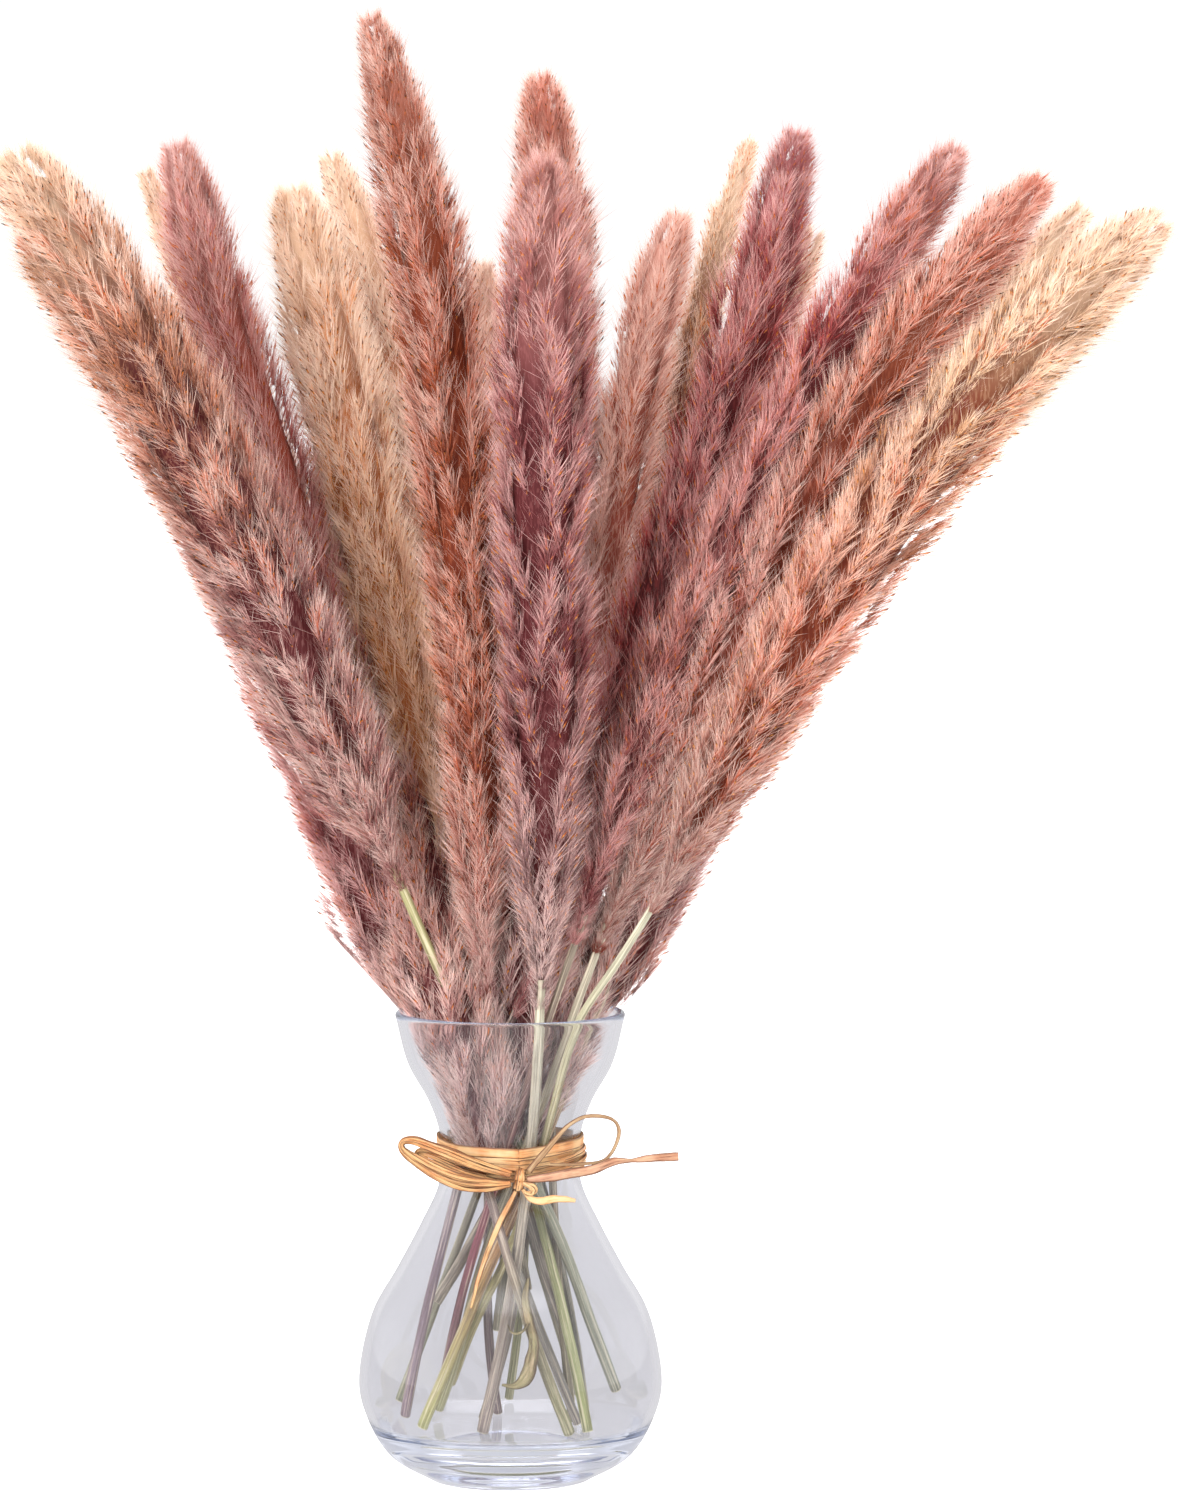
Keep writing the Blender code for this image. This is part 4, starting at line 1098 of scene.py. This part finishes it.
# Runs: points along the middle in millimetres, how far the strands spread to each side,
# their widths, the way their flat side faces, how many strands, and their colours.
TAN_STRIP = (TAN, ORANGE, BROWN)
LOOP_STRIP = ((220, 170, 112), (206, 132, 74), BROWN)
BROWN_STRIP = ((176, 142, 104), (150, 112, 76), BROWN)
ROSY_STRIP = (ROSY, ROSE_BROWN, BROWN)
PALE_STRIP = (STRAW_PALE, TAN, ORANGE)
FRONT = (0, -1, 0)
RUNS = {
    "raffia_loop_left": (
        ((0.6, -26.3, 98.8), (-7, -26.6, 98.4), (-15, -25.4, 99), (-22, -23, 101.3),
         (-28, -20, 104.2), (-33.5, -17.6, 108), (-34, -17.4, 110.6), (-31, -18.4, 111.6),
         (-26, -20.6, 110.4), (-18, -23.4, 107.6), (-9, -25.8, 104.4), (0.6, -26.3, 101.6)),
        (0.7, 1.9, 2.2, 2.0, 1.6, 1.0, 0.6, 0.9, 1.2, 1.5, 1.4, 0.7), (1.1, 1.2, 1.0, 1.1, 0.9),
        (-0.3, -1.0, 0.0), 7, LOOP_STRIP),
    "raffia_loop_left_back": (
        ((-3, -24.5, 98.6), (-9, -24.6, 99.4), (-16, -23.4, 101), (-22, -20.8, 103.4),
         (-27.5, -18, 106), (-29.5, -17, 107.4), (-27, -18.2, 107.8), (-21, -21.2, 106.3),
         (-14, -23.8, 104), (-7, -24.9, 101.8)),
        (0.6, 1.4, 1.8, 1.6, 1.0, 0.5, 0.9, 1.4, 1.6, 1.0), (0.9, 1.0, 0.8, 0.9, 0.7),
        (-0.3, -1.0, 0.0), 5, LOOP_STRIP),
    "raffia_loop_right": (
        ((6.2, -26, 102.6), (10, -26.2, 107.4), (15.6, -25.8, 114), (19, -24.8, 117.3),
         (23.5, -23.4, 119.6), (28.7, -22.2, 119.8), (33, -21.2, 118.4), (34.8, -20.6, 115.4),
         (34.2, -20.4, 111.4), (32, -20.8, 107.2), (29, -21.5, 105.2), (22.4, -23.3, 104.6),
         (13, -24.9, 104.6)),
        (0.0,), (2.2, 2.1, 1.7, 1.4, 1.3, 1.3, 1.2, 1.4, 1.3, 1.2, 1.0, 1.1, 1.0),
        (0.2, -1.0, 0.0), 1, BROWN_STRIP),
    "raffia_tail_right": (
        ((5.6, -26, 99.9), (9.6, -26.6, 100.4), (13.8, -26.6, 101), (20, -25.8, 102),
         (26.4, -24.6, 103), (33.2, -23.4, 105.4), (39, -22.6, 105.6), (46, -22.4, 106.4),
         (53.8, -22.4, 107)),
        (0.0,), (2.2, 2.9, 3.4, 3.4, 3.4, 3.1, 2.0, 3.0, 3.1),
        ((0.1, -1, 0.1),) * 5 + ((0.1, -1, 0.5), (0.2, -0.9, 1.2), (0.1, -1, -0.2), (0, -1, 0)),
        1, ROSY_STRIP),
    "raffia_tail_short": (
        ((4.9, -26.2, 96.0), (7, -26.6, 93.8), (10, -26.8, 93.2), (13.8, -26.6, 93.8),
         (17.5, -26.2, 93.7), (21, -25.6, 93.2)),
        (0.0,), (1.2, 2.1, 2.4, 2.2, 1.9, 1.1), (0.1, -1.0, 0.1), 1, PALE_STRIP),
}
# The front tail lies on the glass, so only its x and height are chosen.
FRONT_TAIL = ((2.0, 96.2), (0.2, 92.6), (-2.3, 88.0), (-4.6, 83.0), (-6.6, 78.5),
              (-8.4, 73.5), (-9.9, 69.0), (-11.0, 64.5), (-12.0, 61.0))
TAIL_CLEARANCE, TAIL_START = 1.3, 26.1
lying = []
for x, z in FRONT_TAIL:
    reach = max(np.interp(z, outside[:, 1], outside[:, 0]) + TAIL_CLEARANCE, TAIL_START)
    lying.append((x, -math.sqrt(reach ** 2 - x ** 2), z))
RUNS["raffia_tail_front"] = (lying, (0.0,), (1.4, 1.9, 2.1, 1.9, 1.6, 1.3, 0.8), (0.0, -1.0, 0.5),
                             1, ((204, 166, 116), (188, 134, 84), BROWN))
for number, (node, (points, spread, width, facing, strands, colours)) in enumerate(RUNS.items()):
    lines = strand_lines(points, spread, width, facing, strands, seed=number)
    finish = raffia_finish(node + "_strip", *colours, strands)
    run = make_strips(node + "_strands", lines, finish, 120, 0.65 if strands > 1 else 0.35)
    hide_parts(node)
    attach(run, "root")

# The knot: strips turned up and over the bundle, and a crushed curl below it.
KNOT_MIDDLE = np.array((3.2, -25.7, 99.8))
KNOT_HALF = (1.5, 2.9)
KNOT_CURL = ((4.2, -26.9, 99.0), (6.2, -27.4, 98.2), (7.8, -27.2, 96.9), (7.0, -26.8, 95.6),
             (5.2, -26.9, 95.8), (4.4, -27.0, 97.0))
knot_turn = np.linspace(0, math.tau, 25)
over_and_under = KNOT_MIDDLE + np.stack([0.5 * np.sin(knot_turn), -KNOT_HALF[0] * np.cos(knot_turn),
                                         KNOT_HALF[1] * np.sin(knot_turn)], 1)
knot_facing = np.stack([0 * knot_turn, -np.cos(knot_turn), np.sin(knot_turn)], 1)
lines = strand_lines(over_and_under, (0.8,), (2.2,), knot_facing, 3, seed=7)
lines += strand_lines(KNOT_CURL, (0.5,), (1.0, 1.3, 0.9), FRONT, 3, seed=8)
finish = raffia_finish("raffia_knot_strip", *TAN_STRIP, len(lines))
knot = make_strips("raffia_knot_strands", lines, finish, 70, 0.3)
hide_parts("raffia_knot")
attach(knot, "root")


# ---- Leaf ----------------------------------------------------------------------------
# One dry blade clings to the foremost stem in the belly: papery, ribbed lengthwise,
# half folded, with brown edges, and curled to a thin end at the foot.
LEAF_POINTS = ((5.8, -12.4, 66), (4.9, -13.4, 60), (6, -13.8, 53), (7.4, -13.6, 46),
               (7, -13.2, 40), (5.2, -12.8, 34.5), (1.6, -12.6, 31.6), (-2.6, -12.4, 31.8))
LEAF_WIDTHS = (1.2, 2.8, 3.2, 3.8, 5.2, 4.8, 2.2, 0.7)
LEAF_FACINGS = ((0.9, -1, 0), (-0.8, -1, 0.2), (0.1, -1, 0.1))
LEAF_CURL = ((6.4, -13.4, 52.6), (4.2, -14.2, 49.6), (2.0, -14.2, 48.6), (0.2, -13.6, 49.4),
             (-0.8, -13.2, 51.4))
leaf_finish = raffia_finish("leaf_blade", (158, 150, 106), (128, 114, 74), (72, 50, 32), 2, 0.6)
leaf_lines = strand_lines(LEAF_POINTS, (0.0,), LEAF_WIDTHS,
                          read_along(LEAF_FACINGS, 5 * len(LEAF_POINTS) - 4), 1)
leaf_lines += strand_lines(LEAF_CURL, (0.0,), (0.7, 0.8, 0.6, 0.3), FRONT, 1)
leaf = make_strips("leaf_blade", leaf_lines, leaf_finish, 110, 0.9, 0.25, 2.2, 20)
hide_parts("dry_leaf")
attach(leaf, "root")
